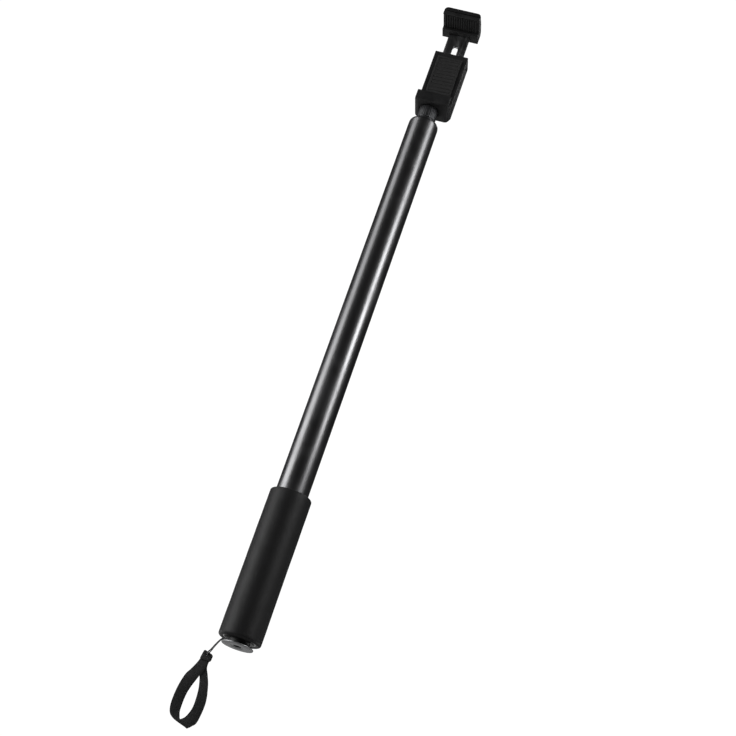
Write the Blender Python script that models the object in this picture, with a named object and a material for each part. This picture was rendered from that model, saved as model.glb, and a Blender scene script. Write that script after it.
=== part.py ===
"""Telescopic selfie stick with a sliding phone clamp, a foam grip and a webbing strap.

The stick stands along +Z with the grip at the bottom, and the phone side of the clamp faces -Y.
The origin is on the stick's axis at the middle of the foam grip, where a hand holds it.
"""

import math

import bmesh
import bpy
from mathutils import Vector

MM = 0.001
GAP = 0.3 * MM  # between pieces that touch
FIT = 0.15 * MM  # radial room between pieces that are pressed or slide into each other

# Driving dimensions: grip end
GRIP_LENGTH = 113.3 * MM
GRIP_RADIUS = 16.0 * MM
GRIP_BOTTOM = -GRIP_LENGTH / 2
CAP_FACE = GRIP_BOTTOM - 4.2 * MM
CAP_RADIUS = 11.8 * MM
CAP_THICKNESS = 1.8 * MM
CAP_SPIGOT_RADIUS = 5.6 * MM
CAP_SPIGOT_LENGTH = 9.0 * MM
TRIPOD_HOLE_RADIUS = 3.2 * MM
INSERT_RADIUS = 4.2 * MM
PLUG_NECK_RADIUS = 8.0 * MM
PLUG_NECK_HEIGHT = 2.3 * MM
PLUG_LENGTH = 15.0 * MM

# Driving dimensions: tubes, outermost first
TUBE_RADII = [r * MM for r in (12.25, 9.2, 7.7, 6.3, 5.0)]
TUBE_WALLS = [w * MM for w in (0.9, 0.7, 0.7, 0.6, 0.6)]
TUBE_TOP = CAP_FACE + 454.4 * MM
SHOULDER_HEIGHT = 4.5 * MM
SHOULDER_STEPS = 4
TOP_STEP = 0.3 * MM  # each inner tube ends this much above the one outside it
MOUTH_ROOM = 0.25 * MM  # between a tube's rolled mouth and the next tube
MOUTH_LIP = 0.4 * MM
BUSH_LENGTH = 40.0 * MM
BUSH_RECESS = 1.0 * MM  # how far a bush sits below its tube's mouth
FLANGE = 3.0 * MM
RING_LENGTH = 20.0 * MM
SPINDLE_PLUG = 14.0 * MM
ECCENTRICITY = 0.3 * MM
SPINDLE_NECK_SHARE = 0.6  # of the bore the lock works in
SPINDLE_BORE_SHARE = 0.4
RING_SPLIT = 1.2 * MM
END_ROOM = 2.0 * MM  # a tube stops this much before its bush
FOOT_STEP = 41.5 * MM

# Driving dimensions: head
NECK_RADIUS = 8.0 * MM
SHANK_LENGTH = 30.0 * MM
STUD_LENGTH = 5.9 * MM
FLUTE_DEPTH = 0.25 * MM
FLUTES = 24
STUD_RADIUS = 3.1 * MM
CLAMP_BOTTOM = CAP_FACE + 465.5 * MM
COLLAR_HEIGHT = 1.1 * MM

# Driving dimensions: clamp, heights above its own underside
CLAMP_OFFSET = 2.0 * MM  # the clamp sits this much to one side of the stick
CLAMP_HALF_WIDTH = 14.2 * MM
LIP_FRONT = -12.5 * MM
LIP_BACK = -8.9 * MM
LIP_TOP = 12.9 * MM
SEAT_HEIGHT = 8.9 * MM
PAD_THICKNESS = 0.9 * MM
SHELL_FRONT = 1.3 * MM
SHELL_BACK = 14.6 * MM
COVER_BACK = 17.5 * MM
SHELL_TOP = 63.0 * MM
SHELL_WALL = 2.2 * MM
HOLLOW_FLOOR = 9.0 * MM
CHIN_HEIGHT = 7.0 * MM
CHIN_DEPTH = 9.0 * MM
CLAMP_INSERT_RADIUS = 4.4 * MM
CLAMP_INSERT_LENGTH = 6.0 * MM
CLAMP_GAP = 78.0 * MM  # phone width held between the jaws
KNOB_HEIGHT = 50.0 * MM
KNOB_RADIUS = 9.0 * MM
KNOB_DEPTH = 8.4 * MM
KNOB_LOBES = 9
KNOB_LOBE_DEPTH = 1.0 * MM
NUT_HALF_WIDTH = 3.5 * MM
SCREW_WAY = 2.1 * MM
BOSS_RADIUS = 4.6 * MM
BACK_PAD_HALF_WIDTH = 10.5 * MM
BACK_PAD_LOW = 17.0 * MM
BACK_PAD_HIGH = 58.0 * MM
COVER_SCREW_HEIGHTS = (15.0 * MM, 57.5 * MM)
COVER_SCREW_INSET = 2.25 * MM
JAW_SCREW_SPACING = 5.2 * MM  # from the middle to each side
JAW_SCREW_RISE = 3.2 * MM
PLATE_HALF_WIDTH = 9.0 * MM
PLATE_FRONT = 6.4 * MM
PLATE_BACK = 8.6 * MM
PLATE_BELOW_KNOB = 18.6 * MM
SLOT_BELOW_KNOB = 14.6 * MM
SLOT_ABOVE_KNOB = 24.6 * MM
SLOT_HALF_WIDTH = 2.3 * MM
JAW_FRONT = -16.5 * MM
JAW_BACK = 12.0 * MM
JAW_HALF_WIDTH = 15.2 * MM
JAW_HEIGHT = 7.9 * MM

# Driving dimensions: strap
CORD_RADIUS = 0.45 * MM
EYELET_RADIUS = 1.2 * MM
WEBBING_THICKNESS = 1.3 * MM
EYE = Vector((-17.9, 0.0, -11.4)) * MM + Vector((0.0, 0.0, CAP_FACE))

ROUND = 40  # sides of the large round pieces
INNER_ROUND = 32  # sides of the inner tubes and what runs in them
SMALL_ROUND = 20


def start_empty():
    for old in list(bpy.data.objects):
        bpy.data.objects.remove(old)


def material(name, colour, roughness, metallic=0.0):
    made = bpy.data.materials.new(name)
    made.use_nodes = True
    shader = made.node_tree.nodes["Principled BSDF"]
    shader.inputs["Base Color"].default_value = (*colour, 1.0)
    shader.inputs["Roughness"].default_value = roughness
    shader.inputs["Metallic"].default_value = metallic
    return made


def axis_empty(name, location, rotation=(0.0, 0.0, 0.0), parent=None):
    """An empty on a joint's axis: the pieces that move with the joint hang from it."""
    empty = bpy.data.objects.new(name, None)
    empty.location = location
    empty.rotation_euler = rotation
    empty.parent = parent
    bpy.context.collection.objects.link(empty)
    return empty


def finish(bm, name, look, parent, smooth=True):
    """Turn a bmesh into a named object with outward faces and its own material."""
    bmesh.ops.remove_doubles(bm, verts=bm.verts, dist=1e-7)
    bmesh.ops.recalc_face_normals(bm, faces=bm.faces)
    mesh = bpy.data.meshes.new(name)
    bm.to_mesh(mesh)
    bm.free()
    if smooth:
        mesh.shade_smooth()
        mesh.set_sharp_from_angle(angle=math.radians(35))
    mesh.materials.append(look)
    made = bpy.data.objects.new(name, mesh)
    made.parent = parent
    bpy.context.collection.objects.link(made)
    return made


def turned(name, profile, look, parent=None, steps=ROUND, offset=0.0):
    """A piece turned on a lathe: the profile is a list of (radius, height) corners.

    A profile that begins and ends on the axis makes a solid piece, any other closes on itself.
    The offset moves the whole piece sideways along X, for an eccentric.
    """
    bm = bmesh.new()
    corners = [bm.verts.new((r, 0.0, z)) for r, z in profile]
    edges = [bm.edges.new(pair) for pair in zip(corners, corners[1:])]
    if profile[0][0] > 0 or profile[-1][0] > 0:
        edges.append(bm.edges.new((corners[-1], corners[0])))
    bmesh.ops.spin(
        bm, geom=corners + edges, cent=(0, 0, 0), axis=(0, 0, 1),
        angle=math.tau, steps=steps, use_merge=True,
    )
    bmesh.ops.translate(bm, verts=bm.verts, vec=(offset, 0.0, 0.0))
    return finish(bm, name, look, parent)


def ring_profile(inner, outer, bottom, top, edge=0.2 * MM):
    """A plain sleeve, with its outer edges broken where an edge is given."""
    if edge == 0:
        return [(inner, bottom), (outer, bottom), (outer, top), (inner, top)]
    return [
        (inner, bottom), (outer - edge, bottom), (outer, bottom + edge),
        (outer, top - edge), (outer - edge, top), (inner, top),
    ]


def arc(centre, radius, start, end, steps):
    """Points of a round corner, from the start angle to the end angle in degrees."""
    points = []
    for i in range(steps + 1):
        angle = math.radians(start + (end - start) * i / steps)
        points.append((centre[0] + radius * math.cos(angle), centre[1] + radius * math.sin(angle)))
    return points


def extruded(name, outline, low, high, look, parent=None, along="X", round_ends=0.0):
    """A prism along X from (y, z) corners, or along Y from (x, z) corners, its ends' edges broken."""
    bm = bmesh.new()
    if along == "X":
        corners = [bm.verts.new((low, a, b)) for a, b in outline]
        shift = Vector((high - low, 0.0, 0.0))
    else:
        corners = [bm.verts.new((a, low, b)) for a, b in outline]
        shift = Vector((0.0, high - low, 0.0))
    face = bm.faces.new(corners)
    grown = bmesh.ops.extrude_face_region(bm, geom=[face])
    moved = [v for v in grown["geom"] if isinstance(v, bmesh.types.BMVert)]
    bmesh.ops.translate(bm, verts=moved, vec=shift)
    bmesh.ops.recalc_face_normals(bm, faces=bm.faces)
    if round_ends:
        rims = [e for e in bm.edges if abs((e.verts[1].co - e.verts[0].co).dot(shift)) < 1e-12]
        bmesh.ops.bevel(
            bm, geom=rims, offset=round_ends, offset_type="OFFSET", affect="EDGES",
            segments=2, profile=0.5, material=-1, clamp_overlap=True,
        )
    return finish(bm, name, look, parent)


def box(name, low, high, look, parent=None, bevel=0.0, segments=1):
    """A block between two corners, with all its edges broken by the bevel."""
    bm = bmesh.new()
    bmesh.ops.create_cube(bm, size=1.0)
    size = Vector(high) - Vector(low)
    bmesh.ops.scale(bm, verts=bm.verts, vec=size)
    bmesh.ops.translate(bm, verts=bm.verts, vec=(Vector(low) + Vector(high)) / 2)
    if bevel:
        bmesh.ops.bevel(
            bm, geom=list(bm.edges), offset=bevel, offset_type="OFFSET", affect="EDGES",
            segments=segments, profile=0.5, material=-1, clamp_overlap=True,
        )
    return finish(bm, name, look, parent)


def combine(target, helper, operation):
    """Cut the helper's shape out of the target or join it on; the helper itself isn't a piece."""
    helper.hide_render = True
    helper.display_type = "WIRE"
    boolean = target.modifiers.new(helper.name, "BOOLEAN")
    boolean.operation = operation
    boolean.solver = "EXACT"
    boolean.object = helper


def cut(target, cutter):
    combine(target, cutter, "DIFFERENCE")


def fluted(made, radius, depth, count):
    """Press flutes into the outer wall of a turned piece."""
    for vertex in made.data.vertices:
        reach = math.hypot(vertex.co.x, vertex.co.y)
        if reach > radius - depth:
            turn = math.atan2(vertex.co.y, vertex.co.x)
            keep = 1 - depth / radius * (0.5 + 0.5 * math.cos(count * turn))
            vertex.co.x *= keep
            vertex.co.y *= keep


def smooth_route(points, steps, closed=False):
    """A Catmull-Rom curve through the points, with this many steps between each two."""
    count = len(points)
    ends = count if closed else count - 1
    curve = []
    for i in range(ends):
        if closed:
            a, b, c, d = (Vector(points[(i + k) % count]) for k in (-1, 0, 1, 2))
        else:
            b, c = Vector(points[i]), Vector(points[i + 1])
            a = Vector(points[i - 1]) if i else 2 * b - c
            d = Vector(points[i + 2]) if i + 2 < count else 2 * c - b
        for k in range(steps):
            t = k / steps
            curve.append(0.5 * (
                2 * b + (c - a) * t + (2 * a - 5 * b + 4 * c - d) * t**2
                + (3 * b - a - 3 * c + d) * t**3
            ))
    if not closed:
        curve.append(Vector(points[-1]))
    return curve


start_empty()

ANODISED = material("black_anodised", (0.012, 0.012, 0.013), 0.22, 0.85)
GREY_METAL = material("grey_metal", (0.36, 0.37, 0.38), 0.34, 1.0)
STEEL = material("zinc_steel", (0.55, 0.56, 0.57), 0.3, 1.0)
FOAM = material("charcoal_foam", (0.022, 0.022, 0.024), 0.85)
BLACK_PLASTIC = material("black_plastic", (0.016, 0.016, 0.017), 0.48)
GREY_PLASTIC = material("grey_acetal", (0.16, 0.16, 0.165), 0.45)
CHARCOAL = material("charcoal_metal", (0.055, 0.056, 0.058), 0.38, 0.7)
RUBBER = material("black_rubber", (0.014, 0.014, 0.014), 0.75)
WEBBING = material("black_webbing", (0.018, 0.018, 0.02), 0.9)
CORD = material("charcoal_cord", (0.06, 0.06, 0.062), 0.8)


# Grip end: cap, insert, plug and foam

def build_grip_end():
    spigot_top = CAP_FACE + CAP_THICKNESS + CAP_SPIGOT_LENGTH
    cap_top = CAP_FACE + CAP_THICKNESS
    bore = INSERT_RADIUS + FIT
    edge = 0.5 * MM
    turned("end_cap", [
        (bore, CAP_FACE), (CAP_RADIUS - edge, CAP_FACE), (CAP_RADIUS, CAP_FACE + edge),
        (CAP_RADIUS, cap_top), (CAP_SPIGOT_RADIUS, cap_top), (CAP_SPIGOT_RADIUS, spigot_top),
        (bore, spigot_top),
    ], GREY_METAL)
    insert_recess = 0.2 * MM
    turned("thread_insert", ring_profile(
        TRIPOD_HOLE_RADIUS, INSERT_RADIUS, CAP_FACE + insert_recess, spigot_top
    ), STEEL, steps=SMALL_ROUND)
    neck_bottom = cap_top + GAP
    neck_top = neck_bottom + PLUG_NECK_HEIGHT
    plug_top = neck_top + PLUG_LENGTH
    plug_radius = TUBE_RADII[0] - TUBE_WALLS[0] - FIT
    spigot_bore = CAP_SPIGOT_RADIUS + FIT
    turned("end_plug", [
        (spigot_bore, neck_bottom), (PLUG_NECK_RADIUS, neck_bottom), (PLUG_NECK_RADIUS, neck_top),
        (plug_radius, neck_top), (plug_radius, plug_top), (spigot_bore, plug_top),
    ], BLACK_PLASTIC)
    bore_radius = TUBE_RADII[0] + GAP
    corner = 1.6 * MM
    outline = [(bore_radius, GRIP_BOTTOM)]
    outline += arc((GRIP_RADIUS - corner, GRIP_BOTTOM + corner), corner, -90, 0, 3)
    outline += arc((GRIP_RADIUS - corner, GRIP_BOTTOM + GRIP_LENGTH - corner), corner, 0, 90, 3)
    outline.append((bore_radius, GRIP_BOTTOM + GRIP_LENGTH))
    turned("foam_grip", outline, FOAM)
    return neck_top + GAP, plug_top


# Telescopic tubes, each with its guide bush, spindle and lock ring

def tube_inner(stage):
    return TUBE_RADII[stage] - TUBE_WALLS[stage]


def tube_top(stage):
    return TUBE_TOP + TOP_STEP * stage


def build_outer_tube(bottom):
    """The rolled-in shoulder closes the tube down to the next one."""
    outer = TUBE_RADII[0]
    inner = tube_inner(0)
    wall = TUBE_WALLS[0]
    mouth = TUBE_RADII[1] + MOUTH_ROOM
    start = TUBE_TOP - SHOULDER_HEIGHT
    rise = SHOULDER_HEIGHT
    profile = [(inner, bottom), (outer, bottom)]
    for i in range(SHOULDER_STEPS + 1):
        turn = math.pi / 2 * i / SHOULDER_STEPS
        reach = (outer - mouth - MOUTH_LIP) * (1 - math.cos(turn))
        profile.append((outer - reach, start + rise * math.sin(turn)))
    profile.append((mouth, TUBE_TOP))
    for i in range(SHOULDER_STEPS, -1, -1):
        turn = math.pi / 2 * i / SHOULDER_STEPS
        reach = (inner - mouth) * (1 - math.cos(turn))
        profile.append((inner - reach, start + (rise - wall) * math.sin(turn)))
    turned("tube_1", profile, ANODISED)


def build_bush(stage, parent=None):
    """The bush fills the space between the top of one tube and the next tube inside it."""
    top = tube_top(stage) - (SHOULDER_HEIGHT + GAP if stage == 0 else BUSH_RECESS)
    bottom = TUBE_TOP - SHOULDER_HEIGHT - BUSH_LENGTH
    inner = TUBE_RADII[stage + 1] + FIT
    outer = tube_inner(stage) - FIT
    turned(
        f"guide_bush_{stage + 1}", ring_profile(inner, outer, bottom, top, 0),
        GREY_PLASTIC, parent, INNER_ROUND,
    )
    return bottom


def build_inner_stage(stage, foot, parent):
    """One inner tube with its foot: flange, eccentric neck inside the split ring, and plug."""
    wide = tube_inner(stage - 1)
    radius = TUBE_RADII[stage]
    inner = tube_inner(stage)
    number = stage + 1
    ring_bottom = foot + FLANGE + GAP
    ring_top = ring_bottom + RING_LENGTH
    shoulder_top = ring_top + GAP + FLANGE
    neck = SPINDLE_NECK_SHARE * wide
    hollow = SPINDLE_BORE_SHARE * wide

    spindle = turned(f"lock_spindle_{number}", [
        (hollow, foot), (radius, foot), (radius, foot + FLANGE),
        (neck, foot + FLANGE), (neck, ring_top + GAP),
        (radius, ring_top + GAP), (radius, shoulder_top), (inner - FIT, shoulder_top),
        (inner - FIT, shoulder_top + SPINDLE_PLUG), (hollow, shoulder_top + SPINDLE_PLUG),
    ], BLACK_PLASTIC, parent, INNER_ROUND)
    for vertex in spindle.data.vertices:
        if abs(math.hypot(vertex.co.x, vertex.co.y) - neck) < 0.01 * MM:
            vertex.co.x += ECCENTRICITY

    ring = turned(
        f"lock_ring_{number}",
        ring_profile(neck + ECCENTRICITY + FIT, wide - FIT, ring_bottom, ring_top, 0),
        GREY_PLASTIC, parent, INNER_ROUND,
    )
    split = box(
        f"ring_split_{number}", (0.0, -RING_SPLIT / 2, ring_bottom - MM),
        (wide + MM, RING_SPLIT / 2, ring_top + MM),
        GREY_PLASTIC, parent,
    )
    cut(ring, split)

    turned(
        f"tube_{number}",
        ring_profile(inner, radius, shoulder_top + GAP, tube_top(stage), 0.15 * MM),
        ANODISED, parent, INNER_ROUND,
    )
    return ring_top


def build_tubes(tube_bottom, plug_top):
    build_outer_tube(tube_bottom)
    bush_bottom = build_bush(0)
    foot = plug_top + MM
    parent = None
    travels = []
    for stage in range(1, 5):
        parent = axis_empty(f"stage_{stage + 1}_slide", (0.0, 0.0, 0.0), parent=parent)
        ring_top = build_inner_stage(stage, foot, parent)
        travels.append(bush_bottom - ring_top - FLANGE - END_ROOM)
        if stage < 4:
            bush_bottom = build_bush(stage, parent)
        foot += FOOT_STEP
    return parent, travels


# Head: stud, collar and locking wheel

def build_head(parent):
    shank = tube_inner(4) - FIT
    shank_bottom = CLAMP_BOTTOM - SHANK_LENGTH
    collar_bottom = tube_top(4) + GAP
    collar_top = collar_bottom + COLLAR_HEIGHT
    stud_top = CLAMP_BOTTOM + STUD_LENGTH
    chamfer = 0.6 * MM
    turned("mount_screw", [
        (0.0, shank_bottom), (shank, shank_bottom), (shank, collar_top), (STUD_RADIUS, collar_top),
        (STUD_RADIUS, stud_top - chamfer), (STUD_RADIUS - chamfer, stud_top), (0.0, stud_top),
    ], STEEL, parent, steps=SMALL_ROUND)
    turned(
        "head_collar", ring_profile(shank + GAP, NECK_RADIUS, collar_bottom, collar_top),
        CHARCOAL, parent, INNER_ROUND,
    )
    wheel_axis = axis_empty("locking_wheel_turn", (0.0, 0.0, 0.0), parent=parent)
    wheel = turned("locking_wheel", ring_profile(
        STUD_RADIUS + FIT, NECK_RADIUS, collar_top + GAP, CLAMP_BOTTOM - GAP, 0.4 * MM
    ), CHARCOAL, wheel_axis, steps=48)
    fluted(wheel, NECK_RADIUS, FLUTE_DEPTH, FLUTES)


# Phone clamp, in heights above its own underside

def build_clamp_shell(swivel, clamp):
    half = CLAMP_HALF_WIDTH
    corner = 1.4 * MM
    outline = [
        (LIP_FRONT + corner, 0.0), (LIP_FRONT + 0.4 * corner, 0.4 * corner), (LIP_FRONT, corner),
        (LIP_FRONT, LIP_TOP - corner), (LIP_FRONT + 0.4 * corner, LIP_TOP - 0.4 * corner),
        (LIP_FRONT + corner, LIP_TOP), (LIP_BACK, LIP_TOP), (LIP_BACK, SEAT_HEIGHT),
        (SHELL_FRONT, SEAT_HEIGHT), (SHELL_FRONT, SHELL_TOP), (SHELL_BACK, SHELL_TOP),
        (SHELL_BACK, CHIN_HEIGHT), (CHIN_DEPTH, 0.0),
    ]
    body = extruded("clamp_body", outline, -half, half, BLACK_PLASTIC, clamp, round_ends=1.2 * MM)
    hollow_half = PLATE_HALF_WIDTH + 2 * GAP
    hollow_front = SHELL_FRONT + SHELL_WALL
    hollow = box(
        "shell_hollow", (-hollow_half, hollow_front, HOLLOW_FLOOR),
        (hollow_half, SHELL_BACK + MM, SHELL_TOP - SHELL_WALL), BLACK_PLASTIC, clamp,
    )
    mouth = box(
        "plate_mouth", (-hollow_half, PLATE_FRONT - GAP, SHELL_TOP - 2 * SHELL_WALL),
        (hollow_half, PLATE_BACK + GAP, SHELL_TOP + MM), BLACK_PLASTIC, clamp,
    )
    pocket_radius = CLAMP_INSERT_RADIUS + FIT
    recess = 0.2 * MM
    insert_top = recess + CLAMP_INSERT_LENGTH
    pocket = turned("insert_pocket", [
        (0.0, -MM), (pocket_radius, -MM), (pocket_radius, insert_top + GAP), (0.0, insert_top + GAP),
    ], BLACK_PLASTIC, swivel, steps=SMALL_ROUND)
    for cutter in (hollow, mouth, pocket):
        cut(body, cutter)
    turned("clamp_thread_insert", ring_profile(
        STUD_RADIUS + FIT, CLAMP_INSERT_RADIUS, recess, insert_top
    ), STEEL, swivel, steps=SMALL_ROUND)
    return body


def across(name, profile, place, look, parent, steps=SMALL_ROUND):
    """A turned piece whose axis runs along +Y through the place: its heights are Y positions."""
    lying = axis_empty(name + "_axis", (place[0], 0.0, place[1]), (-math.pi / 2, 0.0, 0.0), parent)
    return turned(name, profile, look, lying, steps)


def rod_profile(radius, low, high):
    return [(0.0, low), (radius, low), (radius, high), (0.0, high)]


def screw_profile(shank, head, tip, seat, top):
    return [(0.0, tip), (shank, tip), (shank, seat), (head, seat), (head, top), (0.0, top)]


def build_cover(clamp, body):
    half = CLAMP_HALF_WIDTH
    front = SHELL_BACK + GAP
    cover_top = SHELL_TOP - GAP
    cover = extruded("rear_cover", [
        (front, 7.6 * MM), (front + 0.9 * MM, 8.2 * MM), (COVER_BACK, 10.4 * MM),
        (COVER_BACK, cover_top - 2 * MM), (COVER_BACK - 2 * MM, cover_top), (front, cover_top),
    ], -half, half, BLACK_PLASTIC, clamp, round_ends=0.3 * MM)
    shank = 0.9 * MM
    head = 1.7 * MM
    seat = COVER_BACK - 1.5 * MM
    tip = SHELL_BACK - 5.0 * MM
    number = 0
    for side in (-1, 1):
        for height in COVER_SCREW_HEIGHTS:
            number += 1
            place = (side * (half - COVER_SCREW_INSET), height)
            across(
                f"cover_screw_{number}", screw_profile(shank, head, tip, seat, COVER_BACK - GAP),
                place, STEEL, clamp, 12,
            )
            way = screw_profile(
                shank + GAP, head + GAP, tip - GAP, seat - GAP, COVER_BACK + MM
            )
            cut(cover, across(f"cover_way_{number}", way, place, STEEL, clamp, 12))
            cut(body, across(
                f"boss_way_{number}", rod_profile(shank + GAP, tip - GAP, SHELL_BACK + MM),
                place, STEEL, clamp, 12,
            ))
    boss = across(
        "cover_boss", rod_profile(BOSS_RADIUS, PLATE_BACK + 1.8 * MM, COVER_BACK - 0.4 * MM),
        (0.0, KNOB_HEIGHT), BLACK_PLASTIC, clamp,
    )
    combine(cover, boss, "UNION")
    cut(cover, across(
        "cover_screw_way", rod_profile(SCREW_WAY, PLATE_BACK, COVER_BACK + MM),
        (0.0, KNOB_HEIGHT), BLACK_PLASTIC, clamp,
    ))


def build_pads(clamp):
    half = CLAMP_HALF_WIDTH - 1.2 * MM
    box(
        "lower_pad", (-half, LIP_BACK + GAP, SEAT_HEIGHT + GAP),
        (half, SHELL_FRONT - GAP, SEAT_HEIGHT + GAP + PAD_THICKNESS), RUBBER, clamp, 0.25 * MM,
    )
    box(
        "back_pad", (-BACK_PAD_HALF_WIDTH, SHELL_FRONT - GAP - PAD_THICKNESS, BACK_PAD_LOW),
        (BACK_PAD_HALF_WIDTH, SHELL_FRONT - GAP, BACK_PAD_HIGH), RUBBER, clamp, 0.25 * MM,
    )


def build_slide(clamp):
    """The plate, the upper jaw on it, its pad and its screws: they slide along Z together."""
    slide = axis_empty("jaw_slide", (0.0, 0.0, 0.0), parent=clamp)
    underside = SEAT_HEIGHT + GAP + PAD_THICKNESS + CLAMP_GAP
    recess = underside + PAD_THICKNESS + GAP
    jaw_top = underside + JAW_HEIGHT
    plate_bottom = KNOB_HEIGHT - PLATE_BELOW_KNOB
    plate_top = jaw_top
    plate = box(
        "slide_plate", (-PLATE_HALF_WIDTH, PLATE_FRONT, plate_bottom),
        (PLATE_HALF_WIDTH, PLATE_BACK, plate_top), GREY_METAL, slide, 0.3 * MM,
    )
    slot = box(
        "plate_slot", (-SLOT_HALF_WIDTH, PLATE_FRONT - MM, KNOB_HEIGHT - SLOT_BELOW_KNOB),
        (SLOT_HALF_WIDTH, PLATE_BACK + MM, KNOB_HEIGHT + SLOT_ABOVE_KNOB), GREY_METAL, slide,
    )
    cut(plate, slot)
    root = underside - 2.1 * MM
    front = JAW_FRONT
    edge = 0.7 * MM
    rim = 0.9 * MM  # the jaw's front edge comes down in front of the pad
    jaw = extruded("upper_jaw", [
        (front + rim, underside), (front + 0.4 * edge, underside), (front, underside + edge),
        (front, jaw_top - edge), (front + edge, jaw_top), (-3.0 * MM, jaw_top + 2.6 * MM),
        (8.5 * MM, jaw_top + 3.2 * MM), (JAW_BACK - edge, jaw_top + 2.1 * MM),
        (JAW_BACK, jaw_top + 0.8 * MM), (JAW_BACK, root), (1.4 * MM, root), (1.4 * MM, recess),
        (front + rim, recess),
    ], -JAW_HALF_WIDTH, JAW_HALF_WIDTH, BLACK_PLASTIC, slide, round_ends=0.4 * MM)
    cut(jaw, box(
        "jaw_slot", (-PLATE_HALF_WIDTH - GAP, PLATE_FRONT - GAP, root - MM),
        (PLATE_HALF_WIDTH + GAP, PLATE_BACK + GAP, plate_top + GAP), BLACK_PLASTIC, slide,
    ))
    pad_half = JAW_HALF_WIDTH - 0.9 * MM
    box(
        "upper_pad", (-pad_half, front + rim + GAP, underside), (pad_half, MM, recess - GAP),
        RUBBER, slide, 0.25 * MM,
    )
    shank = 1.1 * MM
    head = 2.1 * MM
    seat = JAW_BACK - 1.9 * MM
    tip = PLATE_FRONT - 2.6 * MM
    for side, label in ((-1, "left"), (1, "right")):
        place = (side * JAW_SCREW_SPACING, recess + JAW_SCREW_RISE)
        across(
            f"jaw_screw_{label}", screw_profile(shank, head, tip, seat, JAW_BACK - 0.4 * MM),
            place, STEEL, slide, 12,
        )
        way = screw_profile(shank + GAP, head + GAP, tip - GAP, seat - GAP, JAW_BACK + MM)
        cutter = across(f"jaw_way_{label}", way, place, STEEL, slide, 12)
        cut(jaw, cutter)
        cut(plate, cutter)


def build_lock(clamp):
    """The knob pulls the square nut towards itself and nips the plate against the cover's boss."""
    place = (0.0, KNOB_HEIGHT)
    nut_front = SHELL_FRONT + SHELL_WALL + GAP
    nut = box(
        "square_nut", (-NUT_HALF_WIDTH, nut_front, KNOB_HEIGHT - NUT_HALF_WIDTH),
        (NUT_HALF_WIDTH, PLATE_FRONT - GAP, KNOB_HEIGHT + NUT_HALF_WIDTH), STEEL, clamp, 0.3 * MM,
    )
    cut(nut, across("nut_way", rod_profile(SCREW_WAY, 0.0, COVER_BACK), place, STEEL, clamp))
    across("pressure_washer", ring_profile(
        SCREW_WAY, BOSS_RADIUS, PLATE_BACK + GAP, PLATE_BACK + 1.5 * MM, 0.1 * MM
    ), place, STEEL, clamp)

    turn = axis_empty("knob_turn", (0.0, 0.0, KNOB_HEIGHT), parent=clamp)
    on_axis = (0.0, 0.0)
    face = COVER_BACK + GAP
    top = face + KNOB_DEPTH
    recess = top - 2.6 * MM
    recess_radius = 3.9 * MM
    edge = 1.3 * MM
    knob = across("clamp_knob", [
        (SCREW_WAY, face), (KNOB_RADIUS - edge, face), (KNOB_RADIUS, face + edge),
        (KNOB_RADIUS, top - edge), (KNOB_RADIUS - edge, top), (recess_radius, top),
        (recess_radius, recess), (SCREW_WAY, recess),
    ], on_axis, BLACK_PLASTIC, turn, steps=5 * KNOB_LOBES)
    fluted(knob, KNOB_RADIUS, KNOB_LOBE_DEPTH, KNOB_LOBES)
    across("knob_screw", screw_profile(
        SCREW_WAY - 0.2 * MM, recess_radius - GAP, nut_front, recess + GAP, top - GAP
    ), on_axis, STEEL, turn)


# Wrist strap: double cord, stitched keeper and webbing loop

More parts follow.
